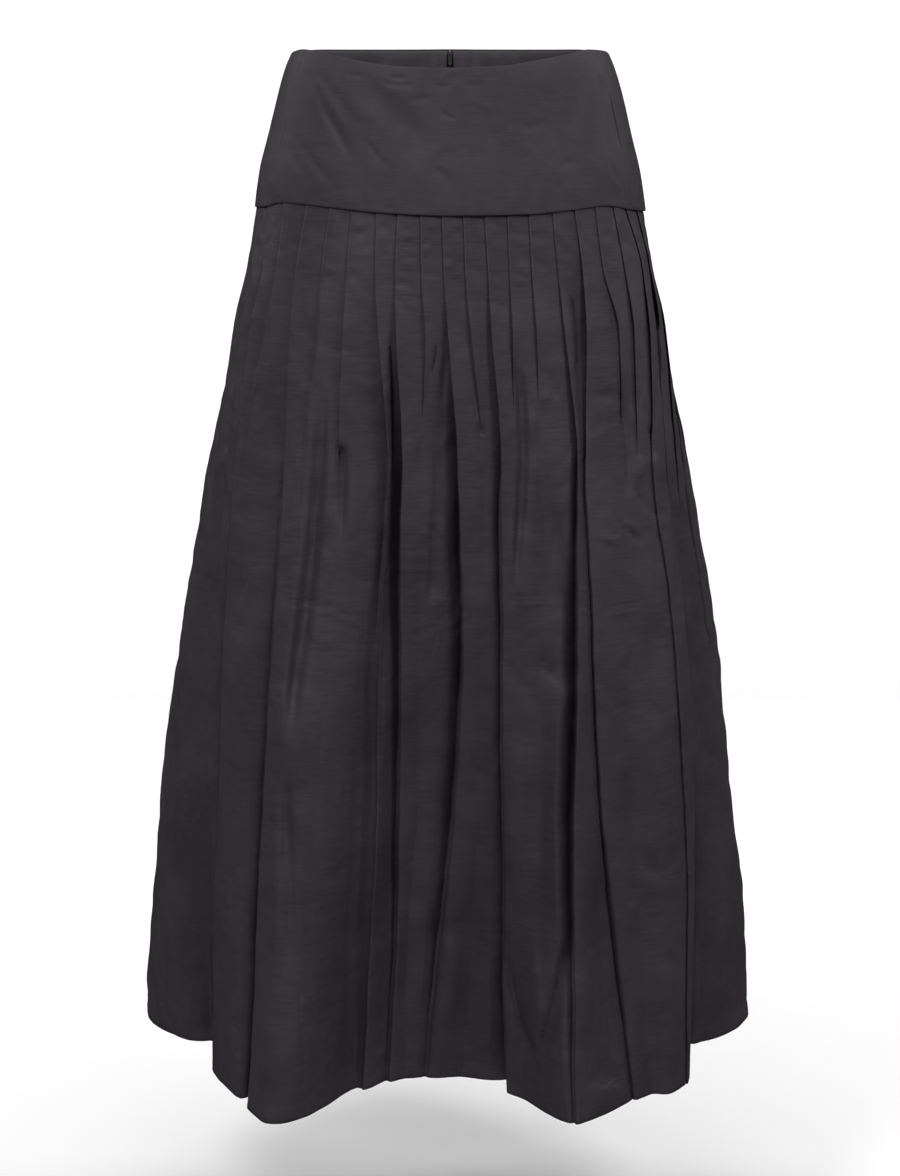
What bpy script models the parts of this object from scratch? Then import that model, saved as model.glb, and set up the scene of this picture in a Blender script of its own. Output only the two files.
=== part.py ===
"""Pleated maxi skirt with a deep fitted hip yoke, modelled as the pieces it is cut
and sewn from. It keeps the hollow form it has when it is worn, with no wearer.

Frame: origin in the middle of the waist, where the skirt is held, +Z up, the
front faces -Y. Left and right are the wearer's, so the left is +X.
"""
import math

import bmesh
import bpy
import numpy as np

# ---------------------------------------------------------------- the cut
# All sizes in millimetres. +Z up from the plane of the side waist, front faces -Y.
YOKE_DROP = 125.5          # side waist to the yoke seam
HEM_Z = -847.0             # level hem
SKIRT_DROP = 715.0         # how the fold tables count from the yoke seam to the hem
PLEATS = 44                # knife pleats all round, folds facing the same way
SQUARE = 2.2               # how square the plan of the body is (2 is an ellipse)

# Plan of the body form, a row for each section:
# z, half width, half depth, centre of the plan behind the waist centre
BODY = [
    (5.0, 126.5, 90.0, 0.0),
    (0.0, 129.0, 92.0, 0.0),
    (-10.0, 133.5, 94.5, 0.0),
    (-25.0, 138.5, 98.0, 0.5),
    (-60.0, 147.5, 105.0, 2.0),
    (-95.0, 155.5, 111.5, 3.0),
    (-125.5, 159.5, 115.5, 4.0),
    (-175.0, 168.0, 123.0, 6.0),
    (-225.0, 177.0, 131.0, 9.0),
    (-275.0, 186.0, 139.0, 12.0),
    (-325.0, 196.0, 147.0, 15.0),
    (-385.0, 208.0, 157.0, 20.0),
    (-445.0, 219.0, 167.0, 25.0),
    (-525.0, 232.0, 178.0, 31.0),
    (-605.0, 242.0, 186.0, 37.0),
    (-685.0, 250.0, 192.0, 41.0),
    (-765.0, 256.0, 197.0, 44.0),
    (-847.0, 261.0, 200.0, 45.0),
]
# Height of the waist edge and of the yoke seam, a row for each point round the
# body: degrees from centre front (plus is the wearer's left), height
RIM = [(-180, 4.0), (-120, 3.0), (-100, 0.5), (-90, -3.0), (-80, -0.5), (-72, 0.6),
       (-59, -2.3), (-48, -6.6), (-38, -10.6), (-24, -14.0), (0, -15.2), (24, -13.7),
       (41, -8.5), (55, -3.5), (66, 0.2), (78, -0.3), (90, -3.0), (100, 0.5),
       (120, 3.0), (180, 4.0)]
SEAM = [(-180, -125.5), (-90, -125.5), (-74, -124.5), (-63, -120.5), (-44, -123.5),
        (-28, -127.0), (0, -129.3), (29, -128.5), (46, -125.5), (58, -122.7),
        (72, -127.0), (90, -129.0), (120, -127.0), (180, -125.5)]

# Front pleats, a row for each fold edge. The columns are the fold's distance
# from the middle at so many millimetres under the yoke seam.
STATIONS = (0, 50, 100, 200, 320, 450, 580, 715)
FRONT_X = [
    ("a",  -148, -152, -161, -173, -185, -193, -198, -203),
    ("p1", -134, -140, -148, -167, -172, -176, -180, -186),
    ("b",  -115, -124, -129, -134, -140, -150, -158, -165),
    ("p3",  -96, -103, -107, -118, -124, -132, -139, -146),
    ("p4",  -79,  -83,  -86,  -90,  -98, -106, -112, -119),
    ("d",   -59,  -60,  -57,  -49,  -56,  -58,  -65,  -74),
    ("e",   -42,  -44,  -43,  -39,  -39,  -41,  -45,  -50),
    ("p7",  -24,  -23,  -20,  -22,  -25,  -27,  -33,  -38),
    ("f",    -7,   -5,   -1,    6,    9,    6,   -6,  -20),
    ("p9",   10,   12,   17,   26,   26,   24,   18,   10),
    ("g",    27,   30,   33,   41,   42,   42,   43,   47),
    ("p11",  45,   47,   50,   52,   56,   56,   56,   62),
    ("p12",  62,   65,   69,   72,   76,   74,   74,   80),
    ("h",    81,   86,   92,  101,  103,  100,   98,  101),
    ("i",    99,  106,  109,  109,  115,  119,  134,  151),
    ("p15", 116,  123,  136,  139,  143,  146,  156,  166),
    ("p16", 131,  141,  148,  151,  162,  169,  176,  181),
    ("j",   142,  157,  160,  163,  179,  190,  195,  197),
]
# How each front fold stands and opens. fade is where it lets go under the seam.
# gap is how deep the cloth turns in behind the fold edge, mouth how wide the
# gap is open, out how far the fold edge stands out of the body form, and lip how
# far behind the fold edge its neighbour turns in (None is the usual share).
DEPTHS = (50, 200, 450, 715)
FRONT_DEPTH = [
    # name, fade, gap at each depth, mouth at each depth, out at each depth, lip
    ("a",   999, (5, 16, 34, 62), (0, 1, 3, 5), (0, 2, -6, -17), (2, 8, 25, 48)),
    ("p1",  175, (4, 3, 0, 0), (0, 0, 0, 0), (0, 2, 9, 20), None),
    ("b",   999, (4, 12, 22, 30), (0, 3, 4, 4), (0, 6, 26, 52), None),
    ("p3",  165, (4, 3, 0, 0), (0, 0, 0, 0), (0, 6, 36, 78), None),
    ("p4",  185, (4, 4, 0, 0), (0, 2, 0, 0), (0, 0, 24, 56), None),
    ("d",   999, (4, 14, 12, 8), (0, 5, 6, 5), (0, 0, -8, -20), None),
    ("e",   999, (4, 22, 14, 6), (0, 6, 4, 3), (0, -2, -20, -43), None),
    ("p7",  140, (4, 3, 0, 0), (0, 0, 0, 0), (0, -4, -25, -54), None),
    ("f",   999, (4, 22, 20, 4), (0, 5, 8, 4), (0, -4, -26, -56), None),
    ("p9",  150, (4, 3, 0, 0), (0, 0, 0, 0), (0, -4, -26, -58), None),
    ("g",   999, (4, 14, 18, 32), (0, 4, 3, 2), (0, 0, -8, -20), (1, 6, 12, 28)),
    ("p11", 130, (4, 3, 0, 0), (0, 0, 0, 0), (0, 2, 0, 0), None),
    ("p12", 125, (4, 3, 0, 0), (0, 0, 0, 0), (0, 2, 4, 42), None),
    ("h",   999, (4, 14, 34, 8), (0, 4, 11, 3), (0, 10, 34, 68), None),
    ("i",   999, (12, 7, 8, 6), (6, 2, 1, 1), (0, 5, 18, 25), None),
    ("p15", 160, (4, 3, 0, 0), (0, 0, 0, 0), (0, 6, 15, 22), None),
    ("p16", 180, (4, 4, 0, 0), (0, 1, 0, 0), (0, 6, 18, 31), None),
    ("j",   999, (5, 5, 6, 5), (0, 1, 1, 1), (0, 8, 16, 20), None),
]
# Side and back pleats, counted on round from the front's last one. The columns
# are as above, with out measured square to the body form. Pleats that no row
# names let go under the stitching, at a depth that the rule in fades() gives.
ROUND_DEPTH = [
    # pleat, fade, gap at each depth, mouth at each depth, out at each depth, lip
    (18, 999, (5, 8, 10, 8), (0, 3, 12, 28), (0, -6, -26, -62), (1, -6, -26, -56)),
    (19, 240, (4, 7, 4, 3), (0, 1, 1, 1), (0, -4, -18, -40), None),
    (20, 380, (4, 9, 6, 3), (0, 2, 2, 1), (0, -2, -8, -16), None),
    (21, 230, (4, 8, 4, 3), (0, 2, 1, 1), (0, 2, 0, -3), None),
    (23, 999, (4, 10, 14, 16), (0, 2, 4, 6), (0, 4, 10, 14), None),
    (25, 999, (4, 22, 26, 20), (0, 6, 8, 4), (0, -4, -10, -18), None),
    (27, 999, (4, 12, 18, 22), (0, 3, 4, 3), (0, 6, 18, 34), None),
    (29, 999, (4, 18, 16, 8), (0, 6, 7, 4), (0, 0, 0, -10), None),
    (31, 999, (5, 24, 30, 26), (0, 6, 9, 8), (0, -4, -16, -30), None),
    (33, 999, (4, 14, 20, 24), (0, 4, 5, 4), (0, 8, 24, 42), None),
    (36, 999, (4, 20, 22, 12), (0, 6, 8, 5), (0, -2, -8, -16), None),
    (38, 999, (4, 12, 16, 20), (0, 3, 3, 3), (0, 12, 22, 30), None),
    (40, 240, (4, 8, 4, 3), (0, 2, 1, 1), (0, 4, 4, 0), None),
    (42, 210, (4, 6, 4, 3), (0, 2, 1, 1), (0, 0, -9, -30), None),
    (43, 180, (4, 5, 3, 2), (0, 1, 1, 1), (0, -4, -24, -62), None),
]


def smooth(a, b, x):
    k = min(max((x - a) / (b - a), 0.0), 1.0)
    return k * k * (3.0 - 2.0 * k)


def curve(xs, ys, x):
    """A smooth curve through a few stations, with no overshoot."""
    xs = [float(v) for v in xs]
    ys = [float(v) for v in ys]
    n = len(xs)
    if x <= xs[0]:
        return ys[0]
    if x >= xs[-1]:
        return ys[-1]
    d = [(ys[i + 1] - ys[i]) / (xs[i + 1] - xs[i]) for i in range(n - 1)]
    m = [d[0]] + [0.0 if d[i - 1] * d[i] <= 0 else
                  2.0 * d[i - 1] * d[i] / (d[i - 1] + d[i])
                  for i in range(1, n - 1)] + [d[-1]]
    i = max(j for j in range(n - 1) if xs[j] <= x)
    h = xs[i + 1] - xs[i]
    t = (x - xs[i]) / h
    return ((2 * t ** 3 - 3 * t * t + 1) * ys[i] + (t ** 3 - 2 * t * t + t) * h * m[i]
            + (3 * t * t - 2 * t ** 3) * ys[i + 1] + (t ** 3 - t * t) * h * m[i + 1])


BZ = [-r[0] for r in BODY]


def body_at(z):
    return tuple(curve(BZ, [r[k] for r in BODY], -z) for k in (1, 2, 3))


class Plan:
    """The plan of the body form at a height, as a curve with a length."""
    COUNT = 1440

    def __init__(self, z):
        self.a, self.b, self.yc = body_at(z)
        th = np.linspace(-math.pi, math.pi, self.COUNT + 1)
        self.th = th
        s, c = np.sin(th), np.cos(th)
        r = ((np.abs(s) / self.a) ** SQUARE + (np.abs(c) / self.b) ** SQUARE) ** (-1.0 / SQUARE)
        self.x, self.y = r * s, self.yc - r * c
        gx = np.sign(s) * np.abs(self.x) ** (SQUARE - 1) / self.a ** SQUARE
        gy = -np.sign(c) * np.abs(r * c) ** (SQUARE - 1) / self.b ** SQUARE
        g = np.hypot(gx, gy)
        nx, ny = gx / g, gy / g
        # straight forward on the front, square to the form at the sides and back
        w = np.clip((np.abs(th) - math.radians(48)) / math.radians(40), 0, 1)
        w = w * w * (3 - 2 * w)
        dx, dy = w * nx, -(1 - w) + w * ny
        g = np.hypot(dx, dy)
        self.dx, self.dy = dx / g, dy / g
        step = np.hypot(np.diff(self.x), np.diff(self.y))
        self.s = np.concatenate([[0.0], np.cumsum(step)])
        self.round = self.s[-1]
        self.s0 = np.interp(0.0, th, self.s)      # centre front

    def s_of_theta(self, th):
        return np.interp(th, self.th, self.s) - self.s0

    def s_of_x(self, x):
        """Where on the front the form is so far from the middle."""
        k = min(abs(x) / self.a, 0.9995)
        y = self.b * (1.0 - k ** SQUARE) ** (1.0 / SQUARE)
        return float(self.s_of_theta(math.atan2(x, y)))

    def point(self, s, n):
        q = np.mod(np.asarray(s, float) + self.s0, self.round)
        f = lambda v: np.interp(q, self.s, v)
        dx, dy = f(self.dx), f(self.dy)
        g = np.hypot(dx, dy)
        return f(self.x) + n * dx / g, f(self.y) + n * dy / g

    def theta(self, s):
        q = np.mod(np.asarray(s, float) + self.s0, self.round)
        return np.interp(q, self.s, self.th)


def around(table, theta):
    deg = math.degrees(theta)
    return curve([r[0] for r in table], [r[1] for r in table], deg)


def seam_z(theta):
    return around(SEAM, theta)


def rim_z(theta):
    return around(RIM, theta)


def fades(i):
    """Where an unnamed side or back pleat lets go, uneven from one to the next."""
    return 150.0 + 45.0 * math.sin(i * 2.4) + 25.0 * math.sin(i * 5.1 + 1.0)


def at_depth(row, drop):
    top = row[0] if abs(row[0]) < 6 else 4.0
    return curve((0.0,) + DEPTHS, (top,) + tuple(row), drop)


def ring(drop, overlap=1.0, panel_lift=3.4):
    """Corner points of the pleated plan at a depth under the seam.

    Returns the plan and, for each pleat, four corners as (s, n), s along the
    body form from centre front and n out of it: the turned-in fold, the fold
    edge, the middle of the panel and the panel's far lip.
    """
    plan = Plan(-YOKE_DROP + (HEM_Z + YOKE_DROP) * drop / SKIRT_DROP)
    n = PLEATS
    k = len(FRONT_X)
    s = np.zeros(n)
    gap, mouth, live = np.zeros(n), np.zeros(n), np.zeros(n)
    out, lip = np.full(n, np.nan), np.full(n, np.nan)

    def stand(i, row):
        fade, g, m, o, lp = row[1:6]
        live[i] = 1.0 - smooth(fade - 35, fade + 60, drop)
        gap[i], mouth[i], out[i] = (at_depth(v, drop) for v in (g, m, o))
        if lp:
            lip[i] = at_depth(lp, drop)

    for i, row in enumerate(FRONT_X):
        s[i] = plan.s_of_x(curve(STATIONS, row[1:], drop))
        stand(i, FRONT_DEPTH[i])
    # the side and back pleats share what is left of the way round
    rest = plan.round - (s[k - 1] - s[0])
    named = {r[0]: r for r in ROUND_DEPTH}
    for i in range(k, n):
        s[i] = s[k - 1] + rest * (i - k + 1) / (n - k + 1.0)
        s[i] += smooth(60, 500, drop) * 7.0 * math.sin(i * 1.9 + 0.6)
        if i in named:
            stand(i, named[i])
        else:
            fade = fades(i)
            live[i] = 1.0 - smooth(fade - 35, fade + 60, drop)
            gap[i] = 4.0
    # an unnamed pleat stands where its named neighbours put it
    known = [i for i in range(n) if not np.isnan(out[i])]
    for i in range(n):
        if np.isnan(out[i]):
            out[i] = curve(known + [known[0] + n],
                           [out[j] for j in known] + [out[known[0]]], i)
    gap *= live
    mouth *= live * smooth(30, 58, drop)        # held shut by the stitching
    # how far the turned-in fold runs under the panel to its right
    under = overlap * 13.0 * live * (1.0 - smooth(60, 260, drop))
    lift = live * (1.0 + panel_lift * (1.0 - smooth(50, 300, drop)))
    corners = []
    for i in range(n):
        j = (i + 1) % n
        turn = plan.round if j == 0 else 0.0
        se, ne = s[i], out[i] + lift[i]
        nxt_s, nxt_n = s[j] + turn, out[j] + lift[j]
        back = 0.42 * gap[j] * smooth(3, 12, gap[j]) if np.isnan(lip[j]) else lip[j]
        lip_s = nxt_s - mouth[j] - 1.6 * live[j] - 0.12 * (1 - live[j]) * (nxt_s - se)
        lip_n = nxt_n - back - lift[j] * 0.8
        crown = 0.05 * max(lip_s - se, 1.0) * smooth(60, 220, drop)
        in_s = se + under[i] - 0.7 * live[i] + 0.10 * gap[i] * smooth(6, 20, gap[i])
        if lip[i] < 0:
            in_s = se - 0.6 * mouth[i]
        corners.append(((in_s, ne - gap[i]), (se, ne),
                        (0.5 * (se + lip_s), 0.5 * (ne + lip_n) + crown),
                        (lip_s, lip_n)))
    return plan, corners, live


def ring_z(drop, theta):
    return seam_z(theta) + (HEM_Z - seam_z(theta)) * drop / SKIRT_DROP


# ------------------------------------------------------------ other sizes, mm
CLOTH = 1.2                # pleated cloth
YOKE_WALL = 1.4            # yoke cloth
FACING_WALL = 1.0
CLEAR = 0.3                # between pieces at a seam
SEAM_CLEAR = 0.5           # under the yoke, whose edge is a row of short straights
LEVELS = (0, 45, 95, 150, 210, 290, 380, 480, 590, 715)
YOKE_PARTS = (0.0, 0.08, 0.22, 0.45, 0.72, 1.0)       # waist edge to seam
FACING_PARTS = (0.01, 0.08, 0.22, 0.36)
ZIP_PARTS = (0.02, 0.08, 0.22, 0.45, 0.72, 0.93)
COIL_PARTS = (0.105, 0.22, 0.45, 0.72, 0.92)          # below the closed slider
RIM_BACK, SEAM_BACK = RIM[-1][1], SEAM[-1][1]
SIDE_SEAM_LEFT = 70.0      # degrees from centre front, on the yoke
SIDE_SEAM_RIGHT = -69.0
BACK_PLEAT = 31            # its turned-in fold holds the centre-back seam
SIDE_PLEAT = 18            # and this one the left side seam; pleat 0 the right
ZIP_GAP = 1.0              # from centre back to each yoke edge along the zip
TAPE_WIDTH = 14.0
TAPE_WALL = 0.8
COIL_WIDTH, COIL_WALL = 3.0, 1.4
PULL_LENGTH, PULL_WIDTH, PULL_WALL = 26.0, 5.0, 1.1


def clear_scene():
    for ob in list(bpy.data.objects):
        bpy.data.objects.remove(ob, do_unlink=True)


def principled(name, colour, roughness, metallic=0.0):
    mat = bpy.data.materials.new(name)
    mat.use_nodes = True
    shader = mat.node_tree.nodes["Principled BSDF"]
    shader.inputs["Base Color"].default_value = (*colour, 1.0)
    shader.inputs["Roughness"].default_value = roughness
    shader.inputs["Metallic"].default_value = metallic
    mat.diffuse_color = (*colour, 1.0)
    return mat


def add_object(name, mesh, collection, material):
    ob = bpy.data.objects.new(name, mesh)
    collection.objects.link(ob)
    mesh.materials.append(material)
    return ob


def yoke_out(part):
    """How far the yoke stands out of the body form, from the waist to the seam."""
    return 0.8 + 1.8 * smooth(0.5, 1.0, part)


def grid_mesh(name, rows):
    """An open sheet through rows of points, its face to the outside."""
    bm = bmesh.new()
    grid = [[bm.verts.new([v / 1000.0 for v in p]) for p in row] for row in rows]
    for upper, lower in zip(grid, grid[1:]):
        for k in range(len(upper) - 1):
            bm.faces.new((upper[k], lower[k], lower[k + 1], upper[k + 1]))
    mesh = bpy.data.meshes.new(name)
    bm.to_mesh(mesh)
    bm.free()
    return mesh


def solidify(ob, wall):
    mod = ob.modifiers.new("wall", "SOLIDIFY")
    mod.thickness = wall / 1000.0
    mod.offset = -1.0
    mod.use_even_offset = True
    return ob


def body_point(theta, z, out):
    plan = Plan(z)
    x, y = plan.point(plan.s_of_theta(theta), out)
    return float(x), float(y), z


def theta_of_back_x(x, z):
    """The direction of a point on the back, so far from the middle."""
    plan = Plan(z)
    y = plan.b * (1.0 - (abs(x) / plan.a) ** SQUARE) ** (1.0 / SQUARE)
    return math.copysign(math.pi - math.atan2(abs(x), y), x)


def sheet_rows(start, end, columns, parts, out, edge_x=None):
    """Rows of points on the yoke between two directions in degrees.

    A part is a share of the way from the waist edge to the seam. edge_x keeps
    the sheet that far from centre back at that end.
    """
    rows = []
    for part in parts:
        z_of = lambda th: rim_z(th) + (seam_z(th) - rim_z(th)) * part
        th0, th1 = math.radians(start), math.radians(end)
        if edge_x is not None and edge_x > 0:
            th1 = theta_of_back_x(edge_x, z_of(math.pi))
        elif edge_x is not None:
            th0 = theta_of_back_x(edge_x, z_of(math.pi))
        steps = [th0 + (th1 - th0) * k / columns for k in range(columns + 1)]
        rows.append([body_point(th, z_of(th), out(part)) for th in steps])
    return rows


def offset_inward(points, wall):
    """The inner side of a wall whose outer side runs through the points."""
    p = np.array(points)
    step = np.diff(p, axis=0)
    step /= np.maximum(np.linalg.norm(step, axis=1), 1e-9)[:, None]
    normal = np.stack([step[:, 1], -step[:, 0]], axis=1)
    inner = []
    for k in range(len(p)):
        a = normal[max(k - 1, 0)]
        b = normal[min(k, len(normal) - 1)]
        m = a + b
        size = np.linalg.norm(m)
        if size < 1e-6:
            m, scale = a, 1.0
        else:
            m = m / size
            scale = min(1.0 / max(float(m @ a), 1e-3), 2.2)
        inner.append(p[k] - m * wall * scale)
    return [tuple(v) for v in inner]


def pleat_run(drop, first, last):
    """The plan of the pleats from the fold turned in before first to the fold
    turned in after last, in millimetres, with the panel ends cut clear."""
    plan, corners, live = ring(drop, overlap=0.0)
    pts = []
    for i in range(first, last + 1):
        group = list(corners[i])
        for s, n in group:
            x, y = plan.point(s, n)
            pts.append((float(x), float(y)))
    s, n = corners[(last + 1) % PLEATS][0]
    x, y = plan.point(s, n)
    pts.append((float(x), float(y)))

    def trim(a, b, cut):
        dx, dy = b[0] - a[0], b[1] - a[1]
        size = math.hypot(dx, dy)
        return a[0] + dx / size * min(cut, size * 0.45), a[1] + dy / size * min(cut, size * 0.45)

    pts[0] = trim(pts[0], pts[1], 1.0)
    pts[-1] = trim(pts[-1], pts[-2], 1.0)
    return plan, pts


def pleated_panel(name, first, last, collection, material):
    """A pleated panel as one closed wall, lofted through its plans."""
    bm = bmesh.new()
    outer, inner = [], []
    for drop in LEVELS:
        plan, run = pleat_run(drop, first, last)
        lining = offset_inward(run, CLOTH)
        for side, pts in ((outer, run), (inner, lining)):
            row = []
            for x, y in pts:
                z = ring_z(drop, math.atan2(x, plan.yc - y))
                z -= SEAM_CLEAR if drop == 0 else 0.0
                row.append(bm.verts.new((x / 1000, y / 1000, z / 1000)))
            side.append(row)

    def quad(a, b, c, d):
        bm.faces.new((a, b, c))
        bm.faces.new((a, c, d))

    last_col = len(outer[0]) - 1
    for r in range(len(LEVELS) - 1):
        for k in range(last_col):
            quad(outer[r][k], outer[r + 1][k], outer[r + 1][k + 1], outer[r][k + 1])
            a, b, c, d = inner[r][k], inner[r + 1][k], inner[r + 1][k + 1], inner[r][k + 1]
            bm.faces.new((c, b, a))
            bm.faces.new((d, c, a))
        quad(inner[r][0], inner[r + 1][0], outer[r + 1][0], outer[r][0])
        quad(outer[r][last_col], outer[r + 1][last_col], inner[r + 1][last_col], inner[r][last_col])
    for k in range(last_col):
        quad(inner[0][k], outer[0][k], outer[0][k + 1], inner[0][k + 1])
        e = len(LEVELS) - 1
        quad(outer[e][k], inner[e][k], inner[e][k + 1], outer[e][k + 1])
    mesh = bpy.data.meshes.new(name)
    bm.to_mesh(mesh)
    bm.free()
    return add_object(name, mesh, collection, material)


def box_mesh(name, low, high):
    bm = bmesh.new()
    bmesh.ops.create_cube(bm, size=1.0)
    for v in bm.verts:
        for k in range(3):
            v.co[k] = ((low[k] + high[k]) / 2 + v.co[k] * (high[k] - low[k])) / 1000.0
    mesh = bpy.data.meshes.new(name)
    bm.to_mesh(mesh)
    bm.free()
    return mesh


def side_outline(name, outlines, half_width, collection, material):
    """A flat shape given in the YZ plane, thick along X."""
    curve_data = bpy.data.curves.new(name, "CURVE")
    curve_data.dimensions = "2D"
    curve_data.fill_mode = "BOTH"
    curve_data.extrude = half_width / 1000.0
    for pts in outlines:
        sp = curve_data.splines.new("POLY")
        sp.points.add(len(pts) - 1)
        for q, (y, z) in zip(sp.points, pts):
            q.co = (y / 1000.0, z / 1000.0, 0.0, 1.0)
        sp.use_cyclic_u = True
    ob = bpy.data.objects.new(name, curve_data)
    collection.objects.link(ob)
    curve_data.materials.append(material)
    # the curve's own X and Y become the world's Y and Z
    ob.rotation_euler = (math.pi / 2, 0.0, math.pi / 2)
    bpy.context.view_layer.update()
    deps = bpy.context.evaluated_depsgraph_get()
    mesh = bpy.data.meshes.new_from_object(ob.evaluated_get(deps))
    bm = bmesh.new()
    bm.from_mesh(mesh)
    bm.transform(ob.matrix_world)
    bmesh.ops.remove_doubles(bm, verts=bm.verts, dist=1e-6)
    bm.to_mesh(mesh)
    bm.free()
    bpy.data.objects.remove(ob, do_unlink=True)
    solid = bpy.data.objects.new(name, mesh)
    collection.objects.link(solid)
    return solid


def yoke_back_y(z, out=0.8):
    plan = Plan(z)
    return plan.yc + plan.b + out


def build():
    clear_scene()
    skirt = bpy.data.collections.new("pleated_maxi_skirt")
    bpy.context.scene.collection.children.link(skirt)
    tools = bpy.data.collections.new("cutters")
    bpy.context.scene.collection.children.link(tools)
    cloth = principled("charcoal_taffeta", (0.045, 0.042, 0.048), 0.55)
    tape = principled("zip_tape", (0.03, 0.03, 0.033), 0.9)
    nylon = principled("zip_nylon", (0.03, 0.03, 0.033), 0.4)
    metal = principled("zip_metal", (0.07, 0.07, 0.075), 0.35, 0.9)

    # the yoke: a front in one piece and two backs that meet at the zip
    half = math.degrees(CLEAR / 2 / 160.0)
    for name, a, b, cols, edge in (
            ("yoke_front", SIDE_SEAM_RIGHT + half, SIDE_SEAM_LEFT - half, 34, None),
            ("yoke_back_left", SIDE_SEAM_LEFT + half, 180.0, 20, ZIP_GAP),
            ("yoke_back_right", -180.0, SIDE_SEAM_RIGHT - half, 20, -ZIP_GAP)):
        rows = sheet_rows(a, b, cols, YOKE_PARTS, yoke_out, edge)
        solidify(add_object(name, grid_mesh(name, rows), skirt, cloth), YOKE_WALL)
        if edge is None:
            continue
        # the back facing is the top of the same sheet, moved in, and stops
        # beside the zip tape
        facing = name.replace("yoke", "facing")
        under = lambda part: yoke_out(0.0) - YOKE_WALL - 1.5 * CLEAR
        rows = sheet_rows(a, b, cols, FACING_PARTS, under, edge)
        rows = [row[:-2] if edge > 0 else row[2:] for row in rows]
        solidify(add_object(facing, grid_mesh(facing, rows), skirt, cloth), FACING_WALL)

    # the pleated panels, their seams hidden in turned-in folds
    pleated_panel("skirt_front", 0, SIDE_PLEAT - 1, skirt, cloth)
    pleated_panel("skirt_back_left", SIDE_PLEAT, BACK_PLEAT - 1, skirt, cloth)
    pleated_panel("skirt_back_right", BACK_PLEAT, PLEATS - 1, skirt, cloth)

    # the concealed zip at centre back: two tapes and the coil inside the yoke
    for name, x0, x1 in (("zip_tape_left", COIL_WIDTH / 2 + CLEAR, COIL_WIDTH / 2 + TAPE_WIDTH),
                         ("zip_tape_right", -COIL_WIDTH / 2 - TAPE_WIDTH, -COIL_WIDTH / 2 - CLEAR)):
        rows = []
        for part in ZIP_PARTS:
            z = RIM_BACK + (SEAM_BACK - RIM_BACK) * part
            row = [body_point(theta_of_back_x(x, z), z, yoke_out(0.0) - YOKE_WALL - 2.5 * CLEAR)
                   for x in (x1, (x0 + x1) / 2, x0)]
            rows.append(row)
        solidify(add_object(name, grid_mesh(name, rows), skirt, tape), TAPE_WALL)
    rows = []
    for part in COIL_PARTS:
        z = RIM_BACK + (SEAM_BACK - RIM_BACK) * part
        y = yoke_back_y(z) - YOKE_WALL - 2.5 * CLEAR
        rows.append([(COIL_WIDTH / 2, y, z), (-COIL_WIDTH / 2, y, z)])
    solidify(add_object("zip_coil", grid_mesh("zip_coil", rows), skirt, nylon), COIL_WALL)

    # the slider: a body inside, a neck through the gap and a bridge outside
    y_out = yoke_back_y(-4.0)
    y_in = yoke_back_y(2.0) - YOKE_WALL - CLEAR - 0.2
    bar_y, bar_z = y_out + 1.7, -3.2
    neck = [(y_in - 0.5, 0.6), (y_out + 2.6, 0.6), (y_out + 3.3, -0.1),
            (y_out + 3.3, -6.3), (y_out + 2.6, -7.0), (y_in - 0.5, -7.0)]
    eye = [(y_out + 0.8, -0.9), (y_out + 2.1, -0.9), (y_out + 2.5, -1.4),
           (y_out + 2.5, -4.9), (y_out + 2.1, -5.4), (y_out + 0.8, -5.4)]
    slider = side_outline("zip_slider", (neck, eye), 0.7, skirt, metal)
    core = add_object("slider_core", box_mesh("slider_core", (-1.5, y_in - 3.0, -8.2), (1.5, y_in - 0.2, 1.6)),
                      tools, metal)
    core.hide_render = True
    core.display_type = "WIRE"
    join = slider.modifiers.new("core", "BOOLEAN")
    join.operation = "UNION"
    join.solver = "EXACT"
    join.object = core

    # the pull tab hangs on the bridge by its top bar, which is the joint's axis
    w, b, t = PULL_WIDTH / 2, 1.1, PULL_WALL
    tab = bpy.data.curves.new("zip_pull", "CURVE")
    tab.dimensions = "2D"
    tab.fill_mode = "BOTH"
    tab.extrude = t / 2 / 1000.0
    tip = -PULL_LENGTH + 2.0
    outline = [(-w + 0.6, 0.55), (w - 0.6, 0.55), (w, 0.0), (w, -6.5), (w - 0.7, -9.0),
               (w - 0.2, tip + 2.0), (w - 1.2, tip), (-w + 1.2, tip), (-w + 0.2, tip + 2.0),
               (-w + 0.7, -9.0), (-w, -6.5), (-w, 0.0)]
    window = [(-w + b, -0.55), (-w + b, -5.6), (w - b, -5.6), (w - b, -0.55)]
    for pts in (outline, window):
        sp = tab.splines.new("POLY")
        sp.points.add(len(pts) - 1)
        for q, (x, z) in zip(sp.points, pts):
            q.co = (x / 1000.0, z / 1000.0, 0.0, 1.0)
        sp.use_cyclic_u = True
    pull = bpy.data.objects.new("zip_pull", tab)
    tab.materials.append(metal)
    skirt.objects.link(pull)
    pull.location = (0.0, bar_y / 1000.0, bar_z / 1000.0)
    # it lies on the cloth, which leans out below the waist
    lean = max(math.atan2(yoke_back_y(z) + CLEAR + t / 2 - bar_y, bar_z - z)
               for z in (-12.0, -18.0, -24.0, -29.0))
    pull.rotation_euler = (math.pi / 2 + lean, 0.0, 0.0)
    weld = pull.modifiers.new("weld", "WELD")
    weld.merge_threshold = 0.00001


build()
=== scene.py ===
"""The looks of the pleated maxi skirt: fine cloth shells on the form of its pieces,
with their folds, creases, seams and stitches, in a plain pale studio."""
import math

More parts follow.
